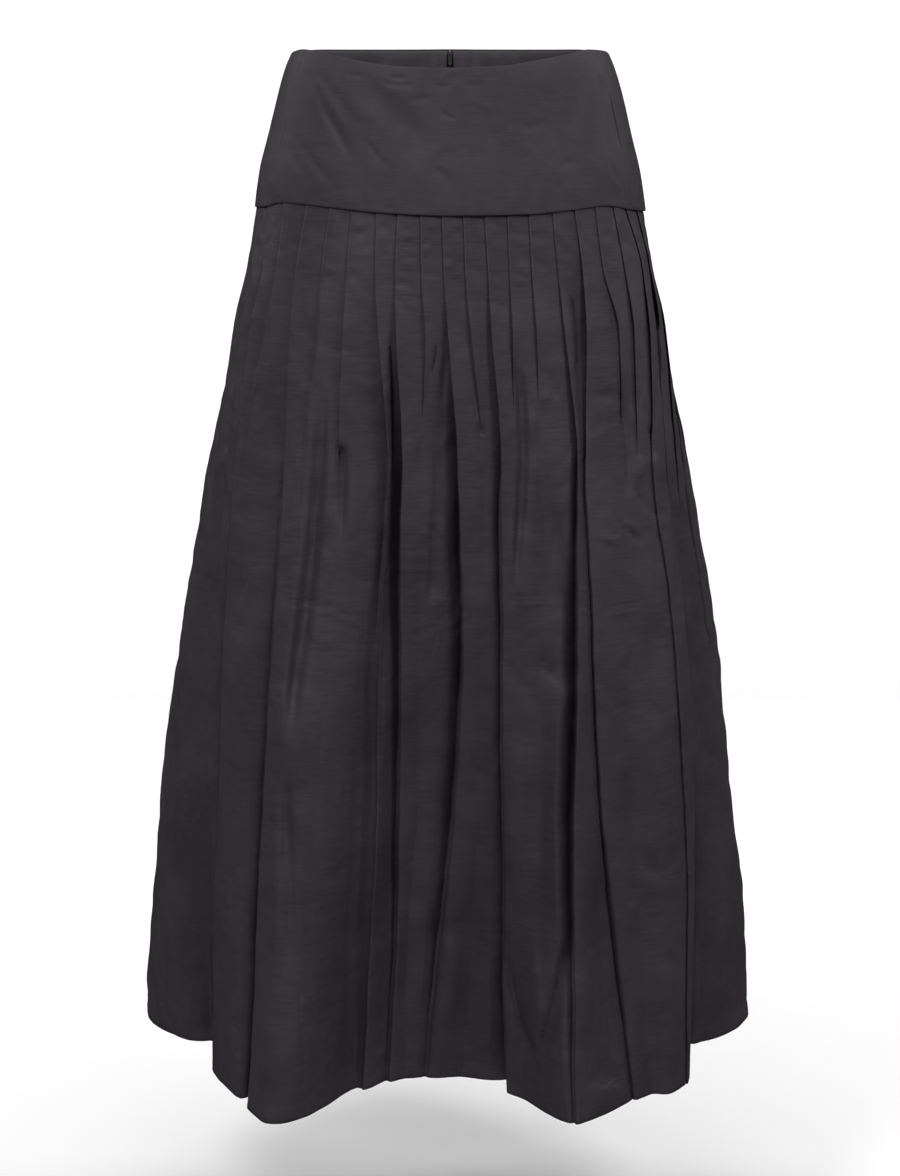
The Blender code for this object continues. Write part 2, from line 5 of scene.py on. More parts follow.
import bmesh
import bpy
import numpy as np
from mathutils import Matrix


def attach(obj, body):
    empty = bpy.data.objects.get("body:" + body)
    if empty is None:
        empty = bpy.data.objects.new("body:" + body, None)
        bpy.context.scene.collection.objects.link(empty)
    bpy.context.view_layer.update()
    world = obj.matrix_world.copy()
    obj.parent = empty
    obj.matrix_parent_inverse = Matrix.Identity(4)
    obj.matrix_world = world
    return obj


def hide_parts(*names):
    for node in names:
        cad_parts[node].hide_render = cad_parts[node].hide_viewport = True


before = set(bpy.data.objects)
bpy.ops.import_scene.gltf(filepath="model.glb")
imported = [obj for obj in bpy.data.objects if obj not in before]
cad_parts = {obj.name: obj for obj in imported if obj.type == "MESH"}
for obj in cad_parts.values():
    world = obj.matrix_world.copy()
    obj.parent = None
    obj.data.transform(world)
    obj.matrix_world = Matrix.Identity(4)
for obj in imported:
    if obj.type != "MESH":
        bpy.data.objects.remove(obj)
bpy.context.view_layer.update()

# ---------------------------------------------------------------- the cut
# All sizes in millimetres. +Z up from the plane of the side waist, front faces -Y.
YOKE_DROP = 125.5          # side waist to the yoke seam
HEM_Z = -847.0             # level hem
SKIRT_DROP = 715.0         # how the fold tables count from the yoke seam to the hem
PLEATS = 44                # knife pleats all round, folds facing the same way
SQUARE = 2.2               # how square the plan of the body is (2 is an ellipse)

# Plan of the body form, a row for each section:
# z, half width, half depth, centre of the plan behind the waist centre
BODY = [
    (5.0, 126.5, 90.0, 0.0),
    (0.0, 129.0, 92.0, 0.0),
    (-10.0, 133.5, 94.5, 0.0),
    (-25.0, 138.5, 98.0, 0.5),
    (-60.0, 147.5, 105.0, 2.0),
    (-95.0, 155.5, 111.5, 3.0),
    (-125.5, 159.5, 115.5, 4.0),
    (-175.0, 168.0, 123.0, 6.0),
    (-225.0, 177.0, 131.0, 9.0),
    (-275.0, 186.0, 139.0, 12.0),
    (-325.0, 196.0, 147.0, 15.0),
    (-385.0, 208.0, 157.0, 20.0),
    (-445.0, 219.0, 167.0, 25.0),
    (-525.0, 232.0, 178.0, 31.0),
    (-605.0, 242.0, 186.0, 37.0),
    (-685.0, 250.0, 192.0, 41.0),
    (-765.0, 256.0, 197.0, 44.0),
    (-847.0, 261.0, 200.0, 45.0),
]
# Height of the waist edge and of the yoke seam, a row for each point round the
# body: degrees from centre front (plus is the wearer's left), height
RIM = [(-180, 4.0), (-120, 3.0), (-100, 0.5), (-90, -3.0), (-80, -0.5), (-72, 0.6),
       (-59, -2.3), (-48, -6.6), (-38, -10.6), (-24, -14.0), (0, -15.2), (24, -13.7),
       (41, -8.5), (55, -3.5), (66, 0.2), (78, -0.3), (90, -3.0), (100, 0.5),
       (120, 3.0), (180, 4.0)]
SEAM = [(-180, -125.5), (-90, -125.5), (-74, -124.5), (-63, -120.5), (-44, -123.5),
        (-28, -127.0), (0, -129.3), (29, -128.5), (46, -125.5), (58, -122.7),
        (72, -127.0), (90, -129.0), (120, -127.0), (180, -125.5)]

# Front pleats, a row for each fold edge. The columns are the fold's distance
# from the middle at so many millimetres under the yoke seam.
STATIONS = (0, 50, 100, 200, 320, 450, 580, 715)
FRONT_X = [
    ("a",  -148, -152, -161, -173, -185, -193, -198, -203),
    ("p1", -134, -140, -148, -167, -172, -176, -180, -186),
    ("b",  -115, -124, -129, -134, -140, -150, -158, -165),
    ("p3",  -96, -103, -107, -118, -124, -132, -139, -146),
    ("p4",  -79,  -83,  -86,  -90,  -98, -106, -112, -119),
    ("d",   -59,  -60,  -57,  -49,  -56,  -58,  -65,  -74),
    ("e",   -42,  -44,  -43,  -39,  -39,  -41,  -45,  -50),
    ("p7",  -24,  -23,  -20,  -22,  -25,  -27,  -33,  -38),
    ("f",    -7,   -5,   -1,    6,    9,    6,   -6,  -20),
    ("p9",   10,   12,   17,   26,   26,   24,   18,   10),
    ("g",    27,   30,   33,   41,   42,   42,   43,   47),
    ("p11",  45,   47,   50,   52,   56,   56,   56,   62),
    ("p12",  62,   65,   69,   72,   76,   74,   74,   80),
    ("h",    81,   86,   92,  101,  103,  100,   98,  101),
    ("i",    99,  106,  109,  109,  115,  119,  134,  151),
    ("p15", 116,  123,  136,  139,  143,  146,  156,  166),
    ("p16", 131,  141,  148,  151,  162,  169,  176,  181),
    ("j",   142,  157,  160,  163,  179,  190,  195,  197),
]
# How each front fold stands and opens. fade is where it lets go under the seam.
# gap is how deep the cloth turns in behind the fold edge, mouth how wide the
# gap is open, out how far the fold edge stands out of the body form, and lip how
# far behind the fold edge its neighbour turns in (None is the usual share).
DEPTHS = (50, 200, 450, 715)
FRONT_DEPTH = [
    # name, fade, gap at each depth, mouth at each depth, out at each depth, lip
    ("a",   999, (5, 16, 34, 62), (0, 1, 3, 5), (0, 2, -6, -17), (2, 8, 25, 48)),
    ("p1",  175, (4, 3, 0, 0), (0, 0, 0, 0), (0, 2, 9, 20), None),
    ("b",   999, (4, 12, 22, 30), (0, 3, 4, 4), (0, 6, 26, 52), None),
    ("p3",  165, (4, 3, 0, 0), (0, 0, 0, 0), (0, 6, 36, 78), None),
    ("p4",  185, (4, 4, 0, 0), (0, 2, 0, 0), (0, 0, 24, 56), None),
    ("d",   999, (4, 14, 12, 8), (0, 5, 6, 5), (0, 0, -8, -20), None),
    ("e",   999, (4, 22, 14, 6), (0, 6, 4, 3), (0, -2, -20, -43), None),
    ("p7",  140, (4, 3, 0, 0), (0, 0, 0, 0), (0, -4, -25, -54), None),
    ("f",   999, (4, 22, 20, 4), (0, 5, 8, 4), (0, -4, -26, -56), None),
    ("p9",  150, (4, 3, 0, 0), (0, 0, 0, 0), (0, -4, -26, -58), None),
    ("g",   999, (4, 14, 18, 32), (0, 4, 3, 2), (0, 0, -8, -20), (1, 6, 12, 28)),
    ("p11", 130, (4, 3, 0, 0), (0, 0, 0, 0), (0, 2, 0, 0), None),
    ("p12", 125, (4, 3, 0, 0), (0, 0, 0, 0), (0, 2, 4, 42), None),
    ("h",   999, (4, 14, 34, 8), (0, 4, 11, 3), (0, 10, 34, 68), None),
    ("i",   999, (12, 7, 8, 6), (6, 2, 1, 1), (0, 5, 18, 25), None),
    ("p15", 160, (4, 3, 0, 0), (0, 0, 0, 0), (0, 6, 15, 22), None),
    ("p16", 180, (4, 4, 0, 0), (0, 1, 0, 0), (0, 6, 18, 31), None),
    ("j",   999, (5, 5, 6, 5), (0, 1, 1, 1), (0, 8, 16, 20), None),
]
# Side and back pleats, counted on round from the front's last one. The columns
# are as above, with out measured square to the body form. Pleats that no row
# names let go under the stitching, at a depth that the rule in fades() gives.
ROUND_DEPTH = [
    # pleat, fade, gap at each depth, mouth at each depth, out at each depth, lip
    (18, 999, (5, 8, 10, 8), (0, 3, 12, 28), (0, -6, -26, -62), (1, -6, -26, -56)),
    (19, 240, (4, 7, 4, 3), (0, 1, 1, 1), (0, -4, -18, -40), None),
    (20, 380, (4, 9, 6, 3), (0, 2, 2, 1), (0, -2, -8, -16), None),
    (21, 230, (4, 8, 4, 3), (0, 2, 1, 1), (0, 2, 0, -3), None),
    (23, 999, (4, 10, 14, 16), (0, 2, 4, 6), (0, 4, 10, 14), None),
    (25, 999, (4, 22, 26, 20), (0, 6, 8, 4), (0, -4, -10, -18), None),
    (27, 999, (4, 12, 18, 22), (0, 3, 4, 3), (0, 6, 18, 34), None),
    (29, 999, (4, 18, 16, 8), (0, 6, 7, 4), (0, 0, 0, -10), None),
    (31, 999, (5, 24, 30, 26), (0, 6, 9, 8), (0, -4, -16, -30), None),
    (33, 999, (4, 14, 20, 24), (0, 4, 5, 4), (0, 8, 24, 42), None),
    (36, 999, (4, 20, 22, 12), (0, 6, 8, 5), (0, -2, -8, -16), None),
    (38, 999, (4, 12, 16, 20), (0, 3, 3, 3), (0, 12, 22, 30), None),
    (40, 240, (4, 8, 4, 3), (0, 2, 1, 1), (0, 4, 4, 0), None),
    (42, 210, (4, 6, 4, 3), (0, 2, 1, 1), (0, 0, -9, -30), None),
    (43, 180, (4, 5, 3, 2), (0, 1, 1, 1), (0, -4, -24, -62), None),
]


def smooth(a, b, x):
    k = min(max((x - a) / (b - a), 0.0), 1.0)
    return k * k * (3.0 - 2.0 * k)


def curve(xs, ys, x):
    """A smooth curve through a few stations, with no overshoot."""
    xs = [float(v) for v in xs]
    ys = [float(v) for v in ys]
    n = len(xs)
    if x <= xs[0]:
        return ys[0]
    if x >= xs[-1]:
        return ys[-1]
    d = [(ys[i + 1] - ys[i]) / (xs[i + 1] - xs[i]) for i in range(n - 1)]
    m = [d[0]] + [0.0 if d[i - 1] * d[i] <= 0 else
                  2.0 * d[i - 1] * d[i] / (d[i - 1] + d[i])
                  for i in range(1, n - 1)] + [d[-1]]
    i = max(j for j in range(n - 1) if xs[j] <= x)
    h = xs[i + 1] - xs[i]
    t = (x - xs[i]) / h
    return ((2 * t ** 3 - 3 * t * t + 1) * ys[i] + (t ** 3 - 2 * t * t + t) * h * m[i]
            + (3 * t * t - 2 * t ** 3) * ys[i + 1] + (t ** 3 - t * t) * h * m[i + 1])


BZ = [-r[0] for r in BODY]


def body_at(z):
    return tuple(curve(BZ, [r[k] for r in BODY], -z) for k in (1, 2, 3))


class Plan:
    """The plan of the body form at a height, as a curve with a length."""
    COUNT = 1440

    def __init__(self, z):
        self.a, self.b, self.yc = body_at(z)
        th = np.linspace(-math.pi, math.pi, self.COUNT + 1)
        self.th = th
        s, c = np.sin(th), np.cos(th)
        r = ((np.abs(s) / self.a) ** SQUARE + (np.abs(c) / self.b) ** SQUARE) ** (-1.0 / SQUARE)
        self.x, self.y = r * s, self.yc - r * c
        gx = np.sign(s) * np.abs(self.x) ** (SQUARE - 1) / self.a ** SQUARE
        gy = -np.sign(c) * np.abs(r * c) ** (SQUARE - 1) / self.b ** SQUARE
        g = np.hypot(gx, gy)
        nx, ny = gx / g, gy / g
        # straight forward on the front, square to the form at the sides and back
        w = np.clip((np.abs(th) - math.radians(48)) / math.radians(40), 0, 1)
        w = w * w * (3 - 2 * w)
        dx, dy = w * nx, -(1 - w) + w * ny
        g = np.hypot(dx, dy)
        self.dx, self.dy = dx / g, dy / g
        step = np.hypot(np.diff(self.x), np.diff(self.y))
        self.s = np.concatenate([[0.0], np.cumsum(step)])
        self.round = self.s[-1]
        self.s0 = np.interp(0.0, th, self.s)      # centre front

    def s_of_theta(self, th):
        return np.interp(th, self.th, self.s) - self.s0

    def s_of_x(self, x):
        """Where on the front the form is so far from the middle."""
        k = min(abs(x) / self.a, 0.9995)
        y = self.b * (1.0 - k ** SQUARE) ** (1.0 / SQUARE)
        return float(self.s_of_theta(math.atan2(x, y)))

    def point(self, s, n):
        q = np.mod(np.asarray(s, float) + self.s0, self.round)
        f = lambda v: np.interp(q, self.s, v)
        dx, dy = f(self.dx), f(self.dy)
        g = np.hypot(dx, dy)
        return f(self.x) + n * dx / g, f(self.y) + n * dy / g

    def theta(self, s):
        q = np.mod(np.asarray(s, float) + self.s0, self.round)
        return np.interp(q, self.s, self.th)


def around(table, theta):
    deg = math.degrees(theta)
    return curve([r[0] for r in table], [r[1] for r in table], deg)


def seam_z(theta):
    return around(SEAM, theta)


def rim_z(theta):
    return around(RIM, theta)


def fades(i):
    """Where an unnamed side or back pleat lets go, uneven from one to the next."""
    return 150.0 + 45.0 * math.sin(i * 2.4) + 25.0 * math.sin(i * 5.1 + 1.0)


def at_depth(row, drop):
    top = row[0] if abs(row[0]) < 6 else 4.0
    return curve((0.0,) + DEPTHS, (top,) + tuple(row), drop)


def ring(drop, overlap=1.0, panel_lift=3.4):
    """Corner points of the pleated plan at a depth under the seam.

    Returns the plan and, for each pleat, four corners as (s, n), s along the
    body form from centre front and n out of it: the turned-in fold, the fold
    edge, the middle of the panel and the panel's far lip.
    """
    plan = Plan(-YOKE_DROP + (HEM_Z + YOKE_DROP) * drop / SKIRT_DROP)
    n = PLEATS
    k = len(FRONT_X)
    s = np.zeros(n)
    gap, mouth, live = np.zeros(n), np.zeros(n), np.zeros(n)
    out, lip = np.full(n, np.nan), np.full(n, np.nan)

    def stand(i, row):
        fade, g, m, o, lp = row[1:6]
        live[i] = 1.0 - smooth(fade - 35, fade + 60, drop)
        gap[i], mouth[i], out[i] = (at_depth(v, drop) for v in (g, m, o))
        if lp:
            lip[i] = at_depth(lp, drop)

    for i, row in enumerate(FRONT_X):
        s[i] = plan.s_of_x(curve(STATIONS, row[1:], drop))
        stand(i, FRONT_DEPTH[i])
    # the side and back pleats share what is left of the way round
    rest = plan.round - (s[k - 1] - s[0])
    named = {r[0]: r for r in ROUND_DEPTH}
    for i in range(k, n):
        s[i] = s[k - 1] + rest * (i - k + 1) / (n - k + 1.0)
        s[i] += smooth(60, 500, drop) * 7.0 * math.sin(i * 1.9 + 0.6)
        if i in named:
            stand(i, named[i])
        else:
            fade = fades(i)
            live[i] = 1.0 - smooth(fade - 35, fade + 60, drop)
            gap[i] = 4.0
    # an unnamed pleat stands where its named neighbours put it
    known = [i for i in range(n) if not np.isnan(out[i])]
    for i in range(n):
        if np.isnan(out[i]):
            out[i] = curve(known + [known[0] + n],
                           [out[j] for j in known] + [out[known[0]]], i)
    gap *= live
    mouth *= live * smooth(30, 58, drop)        # held shut by the stitching
    # how far the turned-in fold runs under the panel to its right
    under = overlap * 13.0 * live * (1.0 - smooth(60, 260, drop))
    lift = live * (1.0 + panel_lift * (1.0 - smooth(50, 300, drop)))
    corners = []
    for i in range(n):
        j = (i + 1) % n
        turn = plan.round if j == 0 else 0.0
        se, ne = s[i], out[i] + lift[i]
        nxt_s, nxt_n = s[j] + turn, out[j] + lift[j]
        back = 0.42 * gap[j] * smooth(3, 12, gap[j]) if np.isnan(lip[j]) else lip[j]
        lip_s = nxt_s - mouth[j] - 1.6 * live[j] - 0.12 * (1 - live[j]) * (nxt_s - se)
        lip_n = nxt_n - back - lift[j] * 0.8
        crown = 0.05 * max(lip_s - se, 1.0) * smooth(60, 220, drop)
        in_s = se + under[i] - 0.7 * live[i] + 0.10 * gap[i] * smooth(6, 20, gap[i])
        if lip[i] < 0:
            in_s = se - 0.6 * mouth[i]
        corners.append(((in_s, ne - gap[i]), (se, ne),
                        (0.5 * (se + lip_s), 0.5 * (ne + lip_n) + crown),
                        (lip_s, lip_n)))
    return plan, corners, live


def ring_z(drop, theta):
    return seam_z(theta) + (HEM_Z - seam_z(theta)) * drop / SKIRT_DROP


# ------------------------------------------------------- the fine shells, mm
YOKE_WALL = 1.4
SHEET = 0.5                # pleated cloth as it shows
SIDE_SEAM_LEFT, SIDE_SEAM_RIGHT = 70.0, -69.0
BACK_PLEAT, SIDE_PLEAT = 31, 18
EYE = (0.0, -2300.0, -57.3)     # where the skirt is seen from
TILT = math.atan2(390.0, 2300.0)
SEAM_DEG = np.linspace(-180, 180, 721)
SEAM_OF = np.array([seam_z(math.radians(d)) for d in SEAM_DEG])


def seam_heights(theta):
    return np.interp(np.degrees(theta), SEAM_DEG, SEAM_OF)


def steps(*rules):
    """Stations with a pitch that changes: (from, to, pitch) in turn."""
    out = []
    for a, b, pitch in rules:
        n = max(1, int(round((b - a) / pitch)))
        out += [a + (b - a) * k / n for k in range(n)]
    return out + [rules[-1][1]]


ROWS_FRONT = steps((-5, 0, 2.5), (0, 60, 2.7), (60, 335, 3.0), (335, 690, 4.3), (690, 715, 3.1))
ROWS_BACK = steps((-5, 0, 2.5), (0, 60, 3.0), (60, 330, 4.2), (330, 690, 6.0), (690, 715, 3.6))


def wobble(i, drop, salt, size):
    """A small drift that a fold makes on its way down, its own for each pleat."""
    a = i * 1.713 + salt * 2.39
    kink = abs(math.sin(drop / 21.0 + 3.3 * a)) + 0.5 * abs(math.sin(drop / 9.3 + 1.7 * a))
    return size * (0.6 * math.sin(drop / 71.0 + a) + 0.4 * math.sin(drop / 33.0 + 2.1 * a + 1.0)
                   + 0.32 * (kink - 0.95))


def corner_arc(before, at, after, radius, count, cap=0.45):
    """A corner rounded off: count points from one arm round to the other."""
    a, p, b = (np.array(v, float) for v in (before, at, after))
    la, lb = np.linalg.norm(a - p), np.linalg.norm(b - p)
    pa = p + (a - p) * min(radius / max(la, 1e-6), cap)
    pb = p + (b - p) * min(radius / max(lb, 1e-6), 0.45)
    t = np.linspace(0, 1, count)[:, None]
    return (1 - t) ** 2 * pa + 2 * t * (1 - t) * p + t * t * pb


COLUMNS = {"in": 2, "rise": 1, "edge": 3, "near": 2, "mid": 4, "far": 1, "lip": 3, "under": 1}
PER_PLEAT = sum(COLUMNS.values())
EDGE_AT = 3                # the column of the fold edge's first point in a pleat


def between(a, b, count):
    return [a + (b - a) * (k + 1) / (count + 1) for k in range(count)]


SPREAD = {"in": (-0.09, -0.07), "rise": (-0.05,), "edge": (-0.025, 0.0, 0.03), "near": (0.11, 0.21),
          "mid": (0.31, 0.41, 0.51, 0.61), "far": (0.70,), "lip": (0.76, 0.80, 0.84), "under": (0.88,)}


def fine_run(drop, first, last):
    """The plan of the cloth at a depth, with every corner a soft fold.

    Returns the plan and an array of (s, n), PER_PLEAT points a pleat, from the
    fold turned in before first to the one after last. Where a pleat has let go,
    its points lie on one smooth curve with its neighbours."""
    d = max(drop, 0.0)
    plan, corners, live = ring(d)
    if drop < 0:
        plan = Plan(-YOKE_DROP - drop * 0.4)
    flat = 0.20 + 0.06 * smooth(10, 45, drop) + 0.74 * smooth(44, 96, drop)   # stitched down flat
    tuck = 2.4 * smooth(0.5, -5.0, drop) if drop < 0.5 else 0.0
    tight = 0.35 + 0.75 * smooth(50, 240, d) + 2.2 * smooth(200, 715, d)
    slit = 2.4 * (1 - smooth(44, 110, drop))       # the layers under each fold lie further in
    inn, edge, lip, lv = {}, {}, {}, {}
    calm = {19: 0.5, 20: 0.5, 21: 0.5, 22: 0.4}    # shallow gaps round the left side
    for i in range(first - 2, last + 4):
        k = i % PLEATS
        turn = plan.round * (i // PLEATS)
        c = corners[k]
        ws = wobble(k, d, 1, 1.5) * smooth(30, 240, d)
        wn = wobble(k, d, 2, 1.8) * smooth(60, 320, d)
        lv[i] = live[k]
        depth = c[0][1] + (c[1][1] - c[0][1]) * calm.get(k, 0)
        inn[i] = np.array([c[0][0] + turn + ws, depth * flat - tuck + wn - slit * live[k]])
        edge[i] = np.array([c[1][0] + turn + ws, c[1][1] * flat - tuck + wn])
        j = (i + 1) % PLEATS
        ws = wobble(j, d, 1, 1.5) * smooth(30, 240, d)
        wn = wobble(j, d, 2, 1.8) * smooth(60, 320, d)
        # round the right side the folds stand a little off, and the slit beside them shows
        ajar = 1.0 if 6 < j < 36 else -1.8 * smooth(30, 60, drop) if j != 6 else 0.0
        depth = c[3][1] + (corners[j][1][1] - c[3][1]) * calm.get(j, 0)
        lip[i] = np.array([c[3][0] + turn + ws + ajar * live[j],
                           depth * flat - tuck + wn - (1.2 if ajar < 0 else 0.0) * live[j] * smooth(44, 110, drop)])
    # each panel's smooth course, from its fold edge to the next fold or its lip
    start, end, slope = {}, {}, {}
    for i in range(first - 2, last + 3):
        start[i] = edge[i]
        end[i] = edge[i + 1] * (1 - lv[i + 1]) + lip[i] * lv[i + 1]
    for i in range(first - 1, last + 3):
        own = (end[i][1] - start[i][1]) / max(end[i][0] - start[i][0], 1.0)
        through = (end[i][1] - start[i - 1][1]) / max(end[i][0] - start[i - 1][0], 1.0)
        slope[i] = own * lv[i] + through * (1 - lv[i])

    def course(i, f):
        """A point a share f of the way along panel i, or of the one before."""
        if f < 0:
            i, f = i - 1, 1 + f
        a, b = start[i], end[i]
        w = b[0] - a[0]
        s = edge[i][0] + ((edge[i + 1][0] - edge[i][0]) * f * (1 - lv[i + 1])
                          + w * min(1.1 * f, 1.0) * lv[i + 1])
        t = min(max((s - a[0]) / max(w, 1.0), 0.0), 1.0)
        crown = 0.05 * w * smooth(60, 220, d) * max(lv[i], lv[i + 1])
        m1 = slope[i + 1] * (1 - lv[i + 1]) + (b[1] - a[1]) / max(w, 1.0) * lv[i + 1]
        n = ((2 * t ** 3 - 3 * t * t + 1) * a[1] + (t ** 3 - 2 * t * t + t) * w * slope[i]
             + (3 * t * t - 2 * t ** 3) * b[1] + (t ** 3 - t * t) * w * m1)
        return np.array([s, n + crown * 4 * t * (1 - t)])

    path = []
    before = None
    seam = np.array([0.0, -1.5 * smooth(40, 90, drop)])    # the two layers turn in at the seam
    for i in range(first, last + 1):
        nlv, nxt_in = lv[i + 1], inn[i + 1]
        low = smooth(220, 560, d)
        crown = (0.05 + 0.05 * low) * max(lip[i][0] - edge[i][0], 1.0) * smooth(60, 220, d) * max(lv[i], nlv)
        mid = edge[i] + (0.5 - 0.07 * low) * (lip[i] - edge[i]) + np.array([0.0, crown])
        r_in = 1.0 + 3.0 * smooth(60, 300, d)
        r_lip = 0.7 + 6.4 * smooth(80, 320, d) + 14.0 * low
        if before is None:
            a_in = np.array([inn[i] + seam, inn[i] + (edge[i] - inn[i]) * 0.2])
        else:
            a_in = corner_arc(before, inn[i], edge[i], r_in, COLUMNS["in"])
        a_edge = corner_arc(inn[i], edge[i], mid, tight, COLUMNS["edge"])
        a_mid = corner_arc(edge[i], mid, lip[i], 1e3, COLUMNS["mid"])
        a_lip = corner_arc(mid, lip[i], nxt_in, r_lip, COLUMNS["lip"], 0.45 + 0.07 * low)
        arm = nxt_in + (lip[i] - nxt_in) * min(r_in / max(np.linalg.norm(lip[i] - nxt_in), 1e-6), 0.45)
        crisp = (list(a_in) + between(a_in[-1], a_edge[0], COLUMNS["rise"]) + list(a_edge)
                 + between(a_edge[-1], a_mid[0], COLUMNS["near"]) + list(a_mid)
                 + between(a_mid[-1], a_lip[0], COLUMNS["far"]) + list(a_lip)
                 + between(a_lip[-1], arm, COLUMNS["under"]))
        shares = [f for part in SPREAD.values() for f in part]
        for p, f in zip(crisp, shares):
            w = lv[i] if f < 0.06 else nlv if f > 0.72 else lv[i] + (nlv - lv[i]) * (f - 0.06) / 0.66
            if w > 0.999:
                path.append(p)
            else:
                path.append(p * w + course(i, f) * (1 - w))
        before = lip[i]
    path.append(inn[last + 1] + seam)
    return plan, np.array(path)


def elevation(x, y, z):
    """Where a point shows on an upright board 150 mm in front of the middle, seen
    from the eye: across and up, in millimetres."""
    k = (-150.0 - EYE[1]) / (y - EYE[1])
    return x * k, EYE[2] + (z - EYE[2]) * k


def stroke(u, v, line, depth, wide, shape="soft", ends=(0.2, 0.2), slip=0.0):
    """How far a crease moves the points (u, v), a trough below zero.

    line is its course, wide its half width at its ends (or one number), ends the
    shares of its length over which it fades. shape is soft, sharp (a cusp), or
    step, which stands out on the right of the line and sinks on its left.
    """
    line = np.array(line, float)
    w0, w1 = (wide, wide) if np.isscalar(wide) else wide
    seg = np.diff(line, axis=0)
    size = np.hypot(seg[:, 0], seg[:, 1])
    run = np.concatenate([[0], np.cumsum(size)])
    best = np.full(u.shape, 1e9)
    side = np.zeros(u.shape)
    along = np.zeros(u.shape)
    reach = 3.2 * max(w0, w1)
    lo, hi = line.min(0) - reach, line.max(0) + reach
    near = (u > lo[0]) & (u < hi[0]) & (v > lo[1]) & (v < hi[1])
    if not near.any():
        return np.zeros(u.shape)
    uu, vv = u[near], v[near]
    b, sd, al = best[near], side[near], along[near]
    for k in range(len(seg)):
        d = seg[k] / max(size[k], 1e-9)
        ru, rv = uu - line[k, 0], vv - line[k, 1]
        t = ru * d[0] + rv * d[1]
        cross = d[0] * rv - d[1] * ru
        tc = np.clip(t, 0, size[k])
        q = np.hypot(ru - tc * d[0], rv - tc * d[1])
        m = q < b
        b = np.where(m, q, b)
        sd = np.where(m, np.sign(cross), sd)
        al = np.where(m, (run[k] + tc) / run[-1], al)
    w = w0 + (w1 - w0) * al
    q = b / w
    if shape == "soft":
        f = np.exp(-q * q)
    elif shape == "sharp":
        f = np.exp(-q * 1.3) * np.clip(1.15 - q * 0.3, 0, 1)
    else:
        f = sd * q * np.exp(-q * q) * 2.2
    def ramp(x, share):
        if share <= 0:
            return np.ones_like(x)
        x = np.clip(x / share, 0, 1)
        return x * x * (3 - 2 * x)
    f = f * ramp(al, ends[0]) * ramp(1 - al, ends[1])
    out = np.zeros(u.shape)
    out[near] = depth * f
    return out


def noise3(x, y, z, size, seed):
    """Smooth seeded noise from about -1 to 1, a few waves in turned directions."""
    rng = np.random.default_rng(seed)
    total = np.zeros(np.broadcast(x, y, z).shape)
    for _ in range(7):
        d = rng.normal(size=3)
        d /= np.linalg.norm(d)
        k = 2 * math.pi / (size * rng.uniform(0.7, 1.6))
        total = total + np.sin(k * (d[0] * x + d[1] * y + d[2] * z) + rng.uniform(0, 6.283))
    return total / 3.2


def crumple(x, y, z, seed, size=1.0):
    """The small facets and wandering wrinkle lines of crisp cloth that was packed
    and handled, mostly running down: out of the cloth in mm."""
    wx = x + 9.0 * noise3(x, y, z, 90.0, seed)
    wz = z * 0.62 + 11.0 * noise3(x, y, z, 70.0, seed + 1)
    wy = y + 6.0 * noise3(x, y, z, 80.0, seed + 2)
    a = noise3(wx, wy, wz, 46.0 * size, seed + 3)
    b = noise3(wx, wy, wz, 27.0 * size, seed + 4)
    c = noise3(wx, wy, wz * 1.5, 74.0 * size, seed + 5)
    where = 0.45 + 0.55 * np.clip(0.5 + 0.9 * noise3(x, y, z, 120.0, seed + 6), 0, 1)
    facet = 0.70 * np.sqrt(a * a + 0.0012) + 0.50 * np.sqrt(b * b + 0.0012) + 0.75 * np.sqrt(c * c + 0.002)
    line = -0.9 * np.exp(-np.abs(noise3(wx, wy, wz * 0.8, 58.0 * size, seed + 7) / 0.09))
    line *= np.clip(noise3(x, y, z, 66.0, seed + 8) * 1.6, 0, 1)
    return facet * where + line


def grid_normals(g):
    down = np.gradient(g, axis=0)
    right = np.gradient(g, axis=1)
    n = np.cross(down, right)
    return n / np.maximum(np.linalg.norm(n, axis=2), 1e-9)[..., None]


def mesh_object(name, verts, faces, smooth_shade=True):
    mesh = bpy.data.meshes.new(name)
    mesh.from_pydata([tuple(v) for v in (np.asarray(verts) / 1000.0)], [], faces)
    mesh.update()
    if smooth_shade:
        mesh.shade_smooth()
    ob = bpy.data.objects.new(name, mesh)
    bpy.context.scene.collection.objects.link(ob)
    return ob


